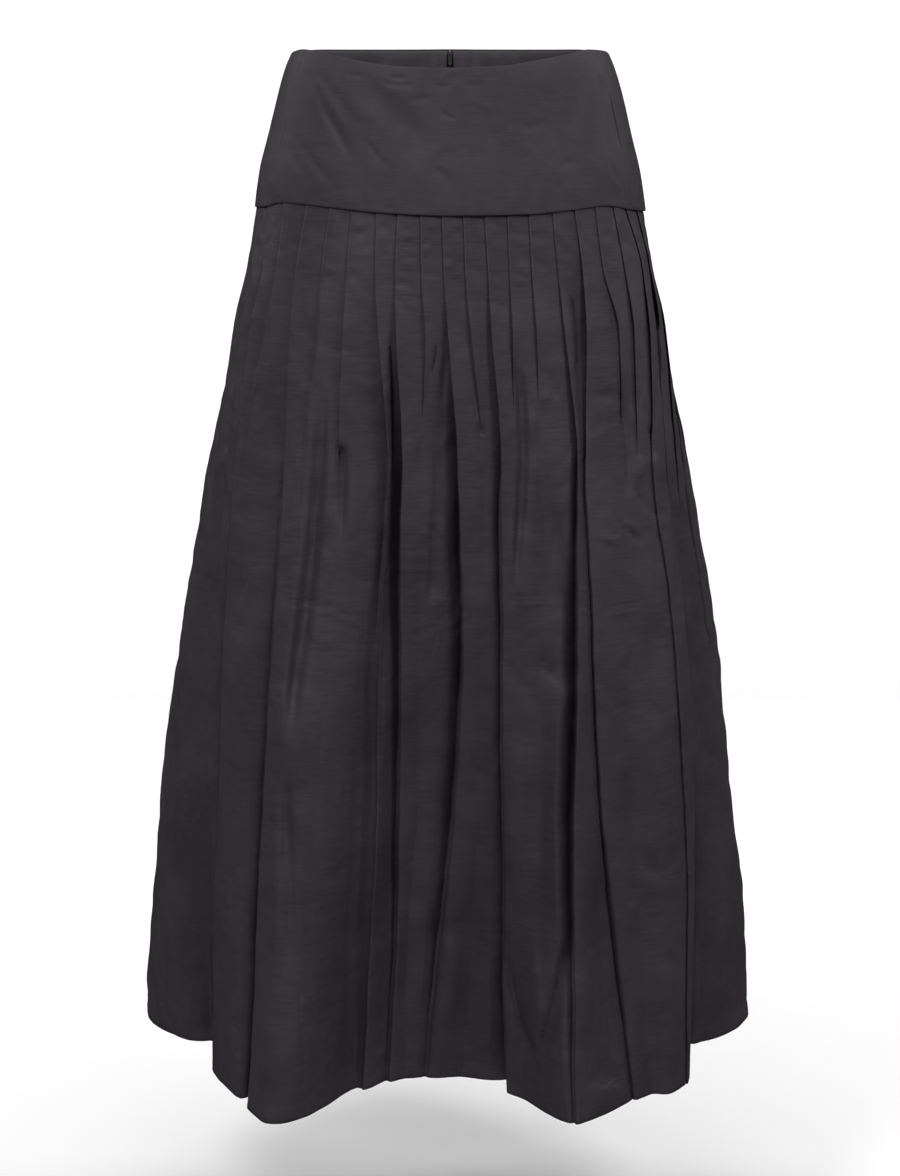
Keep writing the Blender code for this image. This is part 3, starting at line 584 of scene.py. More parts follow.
def shell(name, grid, wall):
    """A closed thin shell, its outer side the grid and its inner side on every
    second row. wall is a number or an array."""
    rows, cols = grid.shape[:2]
    nrm = grid_normals(grid)
    # a softer direction for the inner side, so that tight folds stay open
    soft = nrm.copy()
    for _ in range(2):
        soft[:, 1:-1] = (soft[:, :-2] + 2 * soft[:, 1:-1] + soft[:, 2:]) / 4
    inner = grid - soft * (wall[..., None] if isinstance(wall, np.ndarray) else wall)
    kept = list(range(0, rows - 1, 2)) + [rows - 1]
    inner = inner[kept]
    verts = np.concatenate([grid.reshape(-1, 3), inner.reshape(-1, 3)])
    idx = np.arange(rows * cols).reshape(rows, cols)
    far = np.arange(len(kept) * cols).reshape(len(kept), cols) + rows * cols
    a, b, c, d = idx[:-1, :-1], idx[1:, :-1], idx[1:, 1:], idx[:-1, 1:]
    faces = np.stack([a, b, c, d], -1).reshape(-1, 4).tolist()
    a, b, c, d = far[:-1, :-1], far[1:, :-1], far[1:, 1:], far[:-1, 1:]
    faces += np.stack([d, c, b, a], -1).reshape(-1, 4).tolist()
    for k in range(cols - 1):
        faces.append([int(idx[0, k]), int(idx[0, k + 1]), int(far[0, k + 1]), int(far[0, k])])
        faces.append([int(idx[-1, k + 1]), int(idx[-1, k]), int(far[-1, k]), int(far[-1, k + 1])])
    for k in range(len(kept) - 1):
        span = range(kept[k], kept[k + 1] + 1)
        faces.append([int(idx[r, 0]) for r in reversed(span)] + [int(far[k, 0]), int(far[k + 1, 0])])
        faces.append([int(idx[r, -1]) for r in span] + [int(far[k + 1, -1]), int(far[k, -1])])
    return mesh_object(name, verts, faces)


def pleated_grid(rows, first, last):
    """The pleated cloth as a grid of points, with the directions out of the form."""
    grid, out_dir, s_grid = [], [], []
    for drop in rows:
        plan, run = fine_run(drop, first, last)
        x, y = plan.point(run[:, 0], run[:, 1])
        q = np.mod(run[:, 0] + plan.s0, plan.round)
        dx, dy = np.interp(q, plan.s, plan.dx), np.interp(q, plan.s, plan.dy)
        theta = np.arctan2(x, plan.yc - y)
        seam = seam_heights(theta)
        z = seam + (HEM_Z - seam) * drop / SKIRT_DROP
        grid.append(np.stack([x, y, z], 1))
        out_dir.append(np.stack([dx, dy, np.zeros_like(dx)], 1))
        s_grid.append(run[:, 0])
    return np.array(grid), np.array(out_dir), np.array(s_grid)


def relax(grid, rows, times, weight):
    """Softens the grid sideways and downwards where weight is over 0."""
    w = weight[..., None]
    for _ in range(times):
        m = grid.copy()
        m[1:-1] = 0.5 * grid[1:-1] + 0.25 * (grid[:-2] + grid[2:])
        m[:, 1:-1] = 0.5 * m[:, 1:-1] + 0.25 * (m[:, :-2] + m[:, 2:])
        m[0], m[-1] = grid[0], grid[-1]
        m[:, 0], m[:, -1] = grid[:, 0], grid[:, -1]
        grid = grid + (m - grid) * w
    return grid
# ------------------------------------------------------------------ creases
# Creases, a row for each: depth in mm (out of the cloth is plus), half width,
# shape, the shares of its length over which its ends fade, and its course, across
# and up in mm on the upright board of elevation().
FRONT_CREASES = [
    # the stitched zone: drags between the stitch lines
    (-0.9, (5, 4), "soft", (0.3, 0.3), ((-57, -133), (-48, -143), (-44, -155))),
    (-0.35, (1.8, 1.8), "soft", (0.3, 0.3), ((-98, -165), (-83, -168))),
    (0.2, (2.0, 2.0), "soft", (0.3, 0.3), ((-98, -169), (-82, -172))),
    (-0.8, (2.0, 2.0), "soft", (0.25, 0.25), ((-52, -179), (-37, -182), (-23, -185))),
    (0.6, (1.8, 1.8), "soft", (0.25, 0.25), ((-52, -183), (-38, -185), (-23, -188))),
    (-0.7, (2.2, 2.6), "soft", (0.3, 0.3), ((-3, -176), (11, -162))),
    (0.6, (2.2, 2.6), "soft", (0.3, 0.3), ((-5, -171), (10, -157))),
    (-0.6, (2.2, 2.4), "soft", (0.3, 0.3), ((-23, -153), (-10, -144))),
    (-0.6, (2.2, 2.4), "soft", (0.3, 0.3), ((-22, -164), (-8, -152))),
    (0.5, (2.2, 2.4), "soft", (0.3, 0.3), ((-23, -158), (-9, -147))),
    (-0.6, (2.0, 2.4), "soft", (0.3, 0.3), ((-5, -152), (9, -136))),
    (0.5, (2.0, 2.4), "soft", (0.3, 0.3), ((-5, -146), (8, -132))),
    (-0.6, (2.0, 2.0), "soft", (0.3, 0.3), ((-40, -147), (-25, -152))),
    (-0.5, (2.0, 2.0), "soft", (0.3, 0.3), ((-40, -138), (-26, -141))),
    (-0.5, (2.0, 2.0), "soft", (0.3, 0.3), ((-40, -158), (-24, -161))),
    (-0.5, (2.0, 2.0), "soft", (0.3, 0.3), ((-76, -144), (-60, -138))),
    (-0.5, (2.0, 2.0), "soft", (0.3, 0.3), ((-75, -156), (-61, -152))),
    (-0.4, (2.0, 2.0), "soft", (0.3, 0.3), ((-92, -147), (-78, -150))),
    (-0.5, (2.0, 2.0), "soft", (0.3, 0.3), ((48, -174), (62, -175))),
    (0.5, (2.0, 2.0), "soft", (0.3, 0.3), ((47, -179), (62, -180))),
    (-0.4, (2.0, 2.0), "soft", (0.3, 0.3), ((29, -150), (43, -144))),
    (-0.4, (2.0, 2.0), "soft", (0.3, 0.3), ((45, -141), (59, -146))),
    (-0.4, (2.2, 2.2), "soft", (0.3, 0.3), ((65, -164), (78, -170))),
    (-0.5, (2.0, 2.0), "soft", (0.3, 0.3), ((108, -130), (114, -147), (117, -160))),
    (-0.4, (2.0, 2.0), "soft", (0.3, 0.3), ((86, -155), (100, -164))),
    (-0.4, (2.0, 2.0), "soft", (0.3, 0.3), ((12, -164), (27, -174))),
    (-0.35, (2.0, 2.0), "soft", (0.3, 0.3), ((-110, -144), (-94, -141))),
    (-0.35, (2.0, 2.0), "soft", (0.3, 0.3), ((-128, -147), (-114, -152))),
    # trough beside the third long fold, and the shoulder right of it
    (-9.0, (4, 6.5), "soft", (0.4, 0.2), ((-99, -228), (-101, -288), (-104, -325), (-109, -385), (-113, -420), (-119, -464), (-126, -513), (-131, -560))),
    (2.6, (5, 8), "soft", (0.2, 0.2), ((-108, -240), (-111, -325), (-118, -400), (-130, -480), (-140, -560))),
    (2.0, (9, 12), "soft", (0.2, 0.3), ((-83, -327), (-89, -399), (-100, -472), (-108, -525))),
    # the long light fold's own hollow, low on the left, and its soft ridge
    (-5.0, (4.5, 6), "soft", (0.3, 0.3), ((-133, -560), (-132, -613), (-130, -670), (-130, -745))),
    (1.6, (10, 12), "soft", (0.3, 0.3), ((-147, -595), (-144, -661), (-141, -729))),
    # wedge where the fifth pleat lets go
    (-7.0, (3.0, 4.0), "soft", (0.08, 0.45), ((-86, -306), (-85, -334), (-86, -358), (-87, -392))),
    (1.6, (4, 5), "soft", (0.2, 0.4), ((-79, -315), (-78, -351), (-79, -399))),
    # band between the light fold and the long gap right of it
    (-2.2, (4, 4), "soft", (0.1, 0.2), ((-51, -367), (-53, -431), (-55, -504), (-58, -579))),
    (-4.5, (4, 6), "soft", (0.2, 0.1), ((-62, -399), (-66, -513), (-71, -636), (-80, -762), (-82, -814))),
    (-3.0, (2.4, 3.2), "sharp", (0.1, 0.3), ((-14, -368), (-13, -400), (-15, -424), (-17, -440))),
    (1.2, (3, 3), "soft", (0.3, 0.3), ((-24, -372), (-20, -379), (-12, -378))),
    # the ninth pleat's crease runs on down
    (-2.2, (2.4, 3), "soft", (0.15, 0.3), ((-3, -229), (-7, -272), (-8, -297), (-10, -335), (-11, -367), (-14, -403))),
    (1.5, (5, 6), "soft", (0.2, 0.3), ((-16, -288), (-17, -335), (-19, -387))),
    # soft hollow low in the middle, with a ridge beside it
    (-3.5, (6, 10), "soft", (0.2, 0.3), ((-10, -678), (-11, -729), (-16, -762), (-26, -805))),
    (2.2, (7, 9), "soft", (0.2, 0.3), ((2, -703), (0, -750), (-8, -788))),
    (-1.6, (2, 3), "soft", (0.3, 0.3), ((23, -291), (27, -300))),
    # trough right of the eleventh fold, with its ridge
    (-5.5, (3.2, 3.6), "soft", (0.2, 0.3), ((51, -222), (56, -268), (58, -318), (56, -360), (52, -412), (49, -440))),
    (2.0, (6, 6), "soft", (0.2, 0.35), ((65, -272), (67, -319), (64, -380))),
    # pucker under the thirteenth pleat
    (-1.8, (1.8, 2.4), "soft", (0.2, 0.3), ((75, -248), (80, -259), (86, -273))),
    (1.2, (4, 4), "soft", (0.3, 0.3), ((72, -266), (76, -275))),
    # the wide middle panel: a hollow along its right, a broad swell left of it
    (-5.5, (7, 12), "soft", (0.3, 0.15), ((71, -333), (81, -367), (87, -399), (92, -448), (94, -513))),
    (2.4, (16, 18), "soft", (0.3, 0.4), ((62, -367), (64, -431), (66, -504))),
    (-1.3, (5, 6), "soft", (0.1, 0.5), ((44, -483), (58, -500), (72, -516))),
    (-1.5, (2.2, 2.8), "sharp", (0.1, 0.3), ((70, -481), (78, -488), (86, -496))),
    (1.3, (2.6, 2.6), "soft", (0.2, 0.2), ((85, -493), (93, -487))),
    # the V that opens above the lowest point of the hem
    (-11.5, (8, 8), "sharp", (0.4, 0.14), ((42, -715), (49, -745), (58, -785), (69, -818))),
    (-12.5, (9, 8), "sharp", (0.4, 0.14), ((97, -700), (90, -750), (82, -785), (72, -816))),
    (5.0, (8, 8), "soft", (0.4, 0.2), ((66, -715), (69, -750), (71, -785))),
    (-3.2, (4, 3), "soft", (0.1, 0.4), ((70, -815), (70, -829), (66, -841))),
    (-2.6, (3.0, 3.6), "soft", (0.3, 0.3), ((90, -816), (80, -824), (72, -834))),
    (1.8, (5, 5), "soft", (0.3, 0.3), ((87, -831), (79, -839))),
    (-1.2, (2.4, 2.4), "soft", (0.3, 0.3), ((52, -824), (50, -839))),
    (-1.0, (2.4, 2.4), "soft", (0.3, 0.3), ((59, -829), (57, -844))),
    # shade behind the light strip right of the sharp fold, and the strip itself
    (-11.0, (6, 11), "soft", (0.4, 0.02), ((114, -600), (118, -650), (120, -700), (125, -770), (129, -838))),
    (-2.5, (5, 7), "sharp", (0.3, 0.1), ((112, -680), (116, -740), (121, -838))),
    (1.5, (4, 5), "soft", (0.3, 0.2), ((128, -640), (137, -720), (149, -822))),
    (-2.0, (5, 5), "soft", (0.4, 0.2), ((110, -771), (115, -805), (120, -839))),
    # the sweep across the right panel, and the shade above it
    (1.8, (8, 7), "soft", (0.3, 0.15), ((135, -643), (147, -655), (162, -666), (180, -667), (190, -666))),
    (-1.4, (8, 8), "soft", (0.3, 0.2), ((147, -633), (162, -650), (178, -656))),
    (-1.8, (2.6, 3), "sharp", (0.2, 0.2), ((175, -722), (181, -729), (187, -728))),
    (1.2, (4, 4), "soft", (0.3, 0.3), ((178, -737), (181, -754))),
    # star of creases in the right panel
    (-1.3, (2.4, 2.4), "sharp", (0.25, 0.3), ((117, -382), (125, -388), (132, -392))),
    (1.2, (2.8, 2.8), "soft", (0.3, 0.3), ((119, -380), (131, -385), (136, -378))),
    (-1.3, (2.4, 2.6), "sharp", (0.2, 0.35), ((135, -372), (144, -377), (151, -388))),
    (1.4, (3.2, 3.2), "soft", (0.25, 0.3), ((136, -369), (144, -372), (151, -378))),
    # fold lines from packing, across the skirt
    (-0.8, (2.0, 2.0), "step", (0.1, 0.1), ((-53, -403), (-32, -403), (-10, -406))),
    (-0.9, (2.0, 2.0), "step", (0.1, 0.1), ((-138, -434), (-119, -436), (-95, -439), (-78, -447), (-65, -451))),
    (-0.9, (2.0, 2.0), "step", (0.1, 0.1), ((45, -435), (60, -431), (75, -431))),
    (-0.8, (2.0, 2.0), "step", (0.1, 0.1), ((101, -439), (112, -439))),
    (-0.9, (2.0, 2.0), "step", (0.1, 0.3), ((127, -440), (139, -439), (154, -437))),
    (-0.8, (2.0, 2.0), "step", (0.1, 0.2), ((4, -439), (11, -442), (14, -443))),
    (-0.6, (2.2, 2.2), "step", (0.2, 0.2), ((19, -462), (33, -465))),
    (-0.6, (3, 3), "soft", (0.3, 0.3), ((112, -487), (123, -504), (133, -517))),
    (0.6, (3, 3), "soft", (0.3, 0.3), ((112, -513), (130, -522), (144, -536))),
    (-0.6, (3, 3), "soft", (0.3, 0.3), ((140, -466), (147, -483), (150, -504))),
    # wedge where the seventeenth pleat lets go, the flat end left of it
    (-3.2, (2.4, 4), "soft", (0.1, 0.4), ((133, -262), (137, -288), (139, -311), (141, -358))),
    (2.0, (5, 6), "soft", (0.2, 0.3), ((146, -272), (149, -311), (150, -351))),
    (-1.6, (5, 5), "soft", (0.3, 0.3), ((110, -266), (121, -270), (132, -267))),
    # wedges beside the right fold, and drags in the side panel
    (-2.4, (2.4, 3), "soft", (0.2, 0.3), ((157, -291), (160, -307), (162, -321))),
    (-1.6, (2.2, 2.2), "sharp", (0.2, 0.3), ((179, -339), (187, -349), (195, -358))),
    (-1.0, (3, 3), "soft", (0.3, 0.3), ((169, -327), (168, -351), (170, -375))),
    (0.8, (3, 3), "soft", (0.3, 0.3), ((173, -451), (191, -449), (205, -446))),
    (-0.6, (3, 3), "soft", (0.3, 0.3), ((176, -441), (191, -441), (202, -436))),
    # low on the left
    (0.9, (7, 8), "soft", (0.3, 0.3), ((-125, -703), (-106, -733), (-83, -750))),
    (-0.9, (7, 8), "soft", (0.3, 0.3), ((-122, -729), (-112, -762), (-108, -797))),
    (-1.6, (3, 3.6), "soft", (0.3, 0.3), ((-95, -814), (-102, -831), (-110, -844))),
    (1.0, (5, 5), "soft", (0.3, 0.3), ((-87, -822), (-95, -841))),
    (-0.9, (4, 4), "soft", (0.3, 0.3), ((-116, -797), (-121, -822))),
    (-0.8, (2.2, 2.2), "sharp", (0.2, 0.3), ((-161, -824), (-157, -839))),
    (1.0, (3, 3), "soft", (0.2, 0.2), ((-56, -817), (-61, -831), (-67, -839))),
    (-1.2, (2.4, 2.4), "soft", (0.2, 0.2), ((-52, -810), (-58, -824))),
]

# The wearer's left side panel and the back, seen square on: the side from +X
# (across is Y), the back from +Y (across is X).
SIDE_CREASES = [
    (-0.9, (6, 8), "soft", (0.3, 0.3), ((-40, -530), (-22, -560), (-8, -600))),
    (0.9, (6, 8), "soft", (0.3, 0.3), ((-30, -620), (-10, -660), (4, -700))),
    (-0.8, (6, 8), "soft", (0.3, 0.3), ((-50, -660), (-36, -700), (-20, -744))),
    (-1.2, (3, 4), "soft", (0.2, 0.4), ((-10, -300), (-4, -340), (0, -390))),
    (-0.8, (2.2, 2.2), "step", (0.1, 0.2), ((-30, -441), (-8, -438), (22, -442))),
    (-1.0, (5, 6), "soft", (0.3, 0.3), ((30, -420), (44, -470), (50, -540))),
    (1.0, (7, 8), "soft", (0.3, 0.3), ((60, -560), (52, -640), (48, -700))),
    (-1.4, (2.6, 3), "sharp", (0.2, 0.3), ((12, -470), (24, -480), (34, -496))),
    (-1.2, (4, 5), "soft", (0.3, 0.2), ((86, -700), (80, -760), (78, -820))),
    (-0.7, (2.0, 2.4), "soft", (0.3, 0.3), ((-16, -150), (0, -160))),
    (-0.7, (2.0, 2.4), "soft", (0.3, 0.3), ((20, -170), (36, -160))),
]
BACK_CREASES = [
    (-3.0, (6, 8), "soft", (0.2, 0.3), ((-96, -260), (-100, -340), (-108, -430), (-112, -520))),
    (1.8, (9, 12), "soft", (0.2, 0.3), ((-80, -340), (-84, -430), (-92, -540))),
    (-2.4, (4, 5), "soft", (0.2, 0.4), ((-40, -240), (-46, -300), (-48, -380))),
    (-2.8, (5, 8), "soft", (0.3, 0.2), ((-60, -560), (-66, -660), (-64, -760), (-70, -830))),
    (2.0, (8, 10), "soft", (0.3, 0.2), ((-44, -600), (-48, -700), (-46, -800))),
    (-2.6, (4, 5), "soft", (0.2, 0.3), ((34, -250), (30, -330), (36, -420))),
    (1.6, (7, 9), "soft", (0.2, 0.3), ((52, -300), (54, -400), (50, -500))),
    (-3.4, (6, 9), "soft", (0.3, 0.2), ((90, -420), (98, -540), (104, -660), (112, -790))),
    (2.0, (9, 10), "soft", (0.3, 0.2), ((118, -520), (126, -640), (134, -760))),
    (-2.2, (5, 6), "soft", (0.3, 0.3), ((10, -600), (14, -690), (8, -780))),
    (-1.5, (2.4, 3), "sharp", (0.2, 0.3), ((60, -470), (72, -478), (84, -490))),
    (1.2, (3, 3), "soft", (0.2, 0.3), ((62, -464), (74, -472), (84, -482))),
    (-1.4, (2.4, 3), "sharp", (0.2, 0.3), ((-130, -560), (-120, -572), (-106, -578))),
    (-0.9, (2.2, 2.2), "step", (0.1, 0.1), ((-150, -438), (-110, -436), (-70, -440))),
    (-0.9, (2.2, 2.2), "step", (0.1, 0.2), ((-40, -437), (-8, -440), (20, -436))),
    (-0.8, (2.2, 2.2), "step", (0.1, 0.2), ((66, -441), (100, -437), (140, -440))),
    (1.6, (8, 7), "soft", (0.3, 0.2), ((-140, -640), (-120, -656), (-96, -664))),
    (-1.3, (8, 8), "soft", (0.3, 0.2), ((-136, -628), (-116, -642), (-96, -650))),
    (-0.8, (2.0, 2.2), "soft", (0.3, 0.3), ((-60, -146), (-46, -152))),
    (-0.7, (2.0, 2.2), "soft", (0.3, 0.3), ((-30, -160), (-14, -150))),
    (-0.8, (2.0, 2.2), "soft", (0.3, 0.3), ((18, -150), (34, -160))),
    (-0.7, (2.0, 2.2), "soft", (0.3, 0.3), ((66, -140), (84, -148))),
]


def crease_move(x, y, z, table, seen="front"):
    """How far out a table of creases moves points, seen from the front, from one
    of the sides (both get it) or from the back."""
    if seen == "front":
        u, v = elevation(x, y, z)
        faces = np.ones(u.shape)
    elif seen == "side":
        u, v, faces = y, z, np.clip(np.abs(x) / 60 - 1.4, 0, 1)
    else:
        u, v, faces = x, z, np.clip((y - 40) / 40, 0, 1)
    move = np.zeros(u.shape)
    for depth, wide, shape, ends, line in table:
        crisp = 1.5 if abs(depth) < 3.5 and shape != "soft" else 1.15 if max(wide) < 3.3 else 1.0
        move += stroke(u, v, line, depth * crisp, wide, shape, ends)
    return move * faces


def panel_puckers(s, drop, edges, first, last):
    """Short drags between the stitch lines, and the dent where each pleat lets go:
    a course across or down each panel, uneven from one to the next. edges gives
    each fold edge's place along the form at each row."""
    move = np.zeros(s.shape)
    rng = np.random.default_rng(900 + first)
    for i in range(first, last + 1):
        a = edges[:, i - first]
        at = lambda d: float(np.interp(d, drop[:, 0], a))
        # more and deeper drags a little left of the middle, as the seam pulls there
        pull = 0.45 + 0.75 * math.exp(-((i - 6.5) / 3.6) ** 2) if i < 18 else 0.6
        for _ in range(5):
            d = rng.uniform(4, 54)
            lean = rng.uniform(-7, 7)
            x0, x1 = at(d) + rng.uniform(1, 4), at(d) + rng.uniform(11, 17)
            deep = rng.uniform(0.22, 0.55) * pull * rng.choice([-1, -1, 1])
            move += stroke(s, drop, ((x0, d), (x1, d + lean)), deep, rng.uniform(1.5, 2.6), "soft", (0.3, 0.3))
        fade = FRONT_DEPTH[i][1] if i < len(FRONT_X) else {r[0]: r[1] for r in ROUND_DEPTH}.get(i, fades(i))
        if fade < 400:
            d0, d1 = fade - 34, fade + rng.uniform(20, 60)
            side = rng.uniform(1.5, 4.0)
            line = ((at(d0) + side, d0), (at(fade) + side * 0.7, fade), (at(d1) - rng.uniform(0, 5), d1))
            move += stroke(s, drop, line, -rng.uniform(0.7, 1.5), (1.8, 3.2), "soft", (0.15, 0.5))
            d2 = fade + rng.uniform(16, 40)
            line = ((at(d2) + rng.uniform(-8, -3), d2 - 22), (at(d2) + rng.uniform(-7, -3), d2 + 40))
            move += stroke(s, drop, line, rng.uniform(0.4, 0.9), (4, 6), "soft", (0.3, 0.4))
    return move


# ------------------------------------------------------------------- pieces
def pleated_piece(name, rows, first, last, creases=(), seed=1):
    grid, out_dir, s = pleated_grid(rows, first, last)
    drop = np.array(rows)[:, None] * np.ones(grid.shape[1])[None, :]
    # the gathers of the stitched zone, and soft unevenness further down
    x, y, z = grid[..., 0], grid[..., 1], grid[..., 2]
    top = np.exp(-((drop - 26.0) / 26.0) ** 2)
    fine = noise3(x * 0.7, y * 0.7, z * 1.9, 19.0, seed + 10) * 0.26 * top
    on_face = [0, 0, 0, 0, 0.1, 0.25, 0.7, 1, 1, 1, 1, 1, 0.8, 0.4, 0, 0, 0]
    broad = noise3(x, y, z * 0.55, 62.0, seed + 20) * 1.0 * np.clip((drop - 60) / 160, 0, 1)
    small = noise3(x, y, z * 0.8, 27.0, seed + 30) * 0.32 * np.clip((drop - 40) / 100, 0, 1)
    grid = grid + out_dir * (fine + broad + small)[..., None]
    edge_columns = [(i - first) * PER_PLEAT + EDGE_AT + 1 for i in range(first, last + 1)]
    move = panel_puckers(s, drop, s[:, edge_columns], first, last)
    for seen, table in creases:
        move = move + crease_move(x, y, z, table, seen)
    move = move + crumple(x, y, z, seed * 100) * (0.45 + 0.5 * np.clip((drop - 30) / 60, 0, 1))
    # in the stitched zone the folds themselves lie straight and flat
    held = np.array([on_face[k % PER_PLEAT] for k in range(grid.shape[1])])[None, :]
    free = np.clip((drop - 46) / 40, 0, 1)
    move = move * (held + (1 - held) * free)
    grid = grid + out_dir * move[..., None]
    wall = SHEET + 0.7 * np.clip((drop - 701.0) / 1.5, 0, 1)      # the hem is turned up
    # the stitched hem line draws in a little
    hem = -0.5 * np.exp(-((drop - 701.0) / 1.6) ** 2)
    grid = grid + out_dir * hem[..., None]
    ob = shell(name, grid, wall)
    return ob, grid


front, front_grid = pleated_piece("skirt_front_cloth", ROWS_FRONT, 0, SIDE_PLEAT - 1,
                                  [("front", FRONT_CREASES)], 1)
back_left, back_left_grid = pleated_piece("skirt_back_left_cloth", ROWS_BACK, SIDE_PLEAT, BACK_PLEAT - 1,
                                          [("side", SIDE_CREASES), ("back", BACK_CREASES)], 2)
back_right, back_right_grid = pleated_piece("skirt_back_right_cloth", ROWS_BACK, BACK_PLEAT, PLEATS - 1,
                                            [("side", SIDE_CREASES), ("back", BACK_CREASES)], 3)


def yoke_out(part):
    return 0.8 + 1.8 * smooth(0.5, 1.0, part)


def direction_grid(theta, z):
    """Points of the body form in each direction at each height, and the way out."""
    plans = {}
    x, y, dx, dy = (np.zeros(theta.shape) for _ in range(4))
    levels = np.linspace(z.min() - 1, z.max() + 1, 48)
    table = []
    for level in levels:
        p = Plan(level)
        table.append((np.interp(theta, p.th, p.x), np.interp(theta, p.th, p.y),
                      np.interp(theta, p.th, p.dx), np.interp(theta, p.th, p.dy)))
    t = (z - levels[0]) / (levels[1] - levels[0])
    k = np.clip(t.astype(int), 0, len(levels) - 2)
    f = t - k
    stack = np.array(table)                     # level, quantity, then the grid
    rr, cc = np.indices(theta.shape)
    lower = stack[k, :, rr, cc]
    upper = stack[k + 1, :, rr, cc]
    got = lower * (1 - f)[..., None] + upper * f[..., None]
    x, y, dx, dy = got[..., 0], got[..., 1], got[..., 2], got[..., 3]
    g = np.hypot(dx, dy)
    return np.stack([x, y, z], -1), np.stack([dx / g, dy / g, np.zeros_like(dx)], -1)


RIM_OF = np.array([rim_z(math.radians(d)) for d in SEAM_DEG])


def rim_heights(theta):
    return np.interp(np.degrees(theta), SEAM_DEG, RIM_OF)


def band(name, start, end, columns, top, bottom, out, wall, rows, creases=(), edge_x=None, seed=5,
         lift=None, most=None, least=None):
    """A piece of the yoke or facing as a closed band with rolled edges: an outer
    side, a turn at the bottom, an inner side and a rolled top."""
    th = np.linspace(math.radians(start), math.radians(end), columns)
    prof = []                                   # (part, how far in, up)
    for k in range(rows):
        prof.append((top + (bottom - top) * k / (rows - 1), 0.0, 0.0))
    r = wall / 2
    for k in (1, 2, 3):
        a = math.pi * k / 4
        prof.append((bottom, r * (1 - math.cos(a)), -r * math.sin(a)))
    inner = max(8, rows // 3)
    for k in range(inner):
        prof.append((bottom + (top - bottom) * k / (inner - 1), wall, 0.0))
    for k in (3, 2, 1):
        a = math.pi * k / 4
        prof.append((top, r * (1 - math.cos(a)), r * math.sin(a)))
    prof = np.array(prof)
    rim, seam = rim_heights(th), seam_heights(th)
    theta = np.repeat(th[None, :], len(prof), 0)
    z = rim[None, :] + (seam - rim)[None, :] * prof[:, :1]
    if edge_x is not None:
        # the edge along the zip stays so far from centre back at every height
        for r_i in range(len(prof)):
            p = Plan(float(z[r_i, -1 if edge_x > 0 else 0]))
            back = p.b * (1 - (abs(edge_x) / p.a) ** SQUARE) ** (1 / SQUARE)
            lim = math.pi - math.atan2(abs(edge_x), back)
            a, b = (th[0], lim) if edge_x > 0 else (-lim, th[-1])
            theta[r_i] = np.linspace(a, b, columns)
    base, out_dir = direction_grid(theta, z)
    parts = np.repeat(prof[:, :1], columns, 1)
    reach = np.array([out(p) for p in prof[:, 0]])[:, None] * np.ones(columns)[None, :]
    pts = base + out_dir * reach[..., None]
    x, y = pts[..., 0], pts[..., 1]
    move = np.zeros(x.shape)
    for seen, rows_of in creases:
        move += 1.7 * crease_move(x, y, z, rows_of, seen) * np.clip(parts / 0.05, 0, 1) * np.clip((1 - parts) / 0.04, 0, 1)
    if lift is not None:
        move += lift(x, y, z, parts)
    if most is not None:
        move = np.minimum(move, most)           # it never goes into what lies outside it
    if least is not None:
        move = np.maximum(move, least)          # nor through the facing that lies inside it
    pts = pts + out_dir * (move - prof[:, 1:2])[..., None]
    pts[..., 2] += prof[:, 2:3]
    rows_n = len(prof)
    verts = pts.reshape(-1, 3)
    idx = np.arange(rows_n * columns).reshape(rows_n, columns)
    nxt = np.roll(idx, -1, axis=0)
    a, b, c, d = idx[:, :-1], nxt[:, :-1], nxt[:, 1:], idx[:, 1:]
    faces = np.stack([a, b, c, d], -1).reshape(-1, 4).tolist()
    faces.append([int(v) for v in idx[:, 0]][::-1])
    faces.append([int(v) for v in idx[:, -1]])
    ob = mesh_object(name, verts, faces)
    ob.data.set_sharp_from_angle(angle=math.radians(60))
    return ob, pts, rows


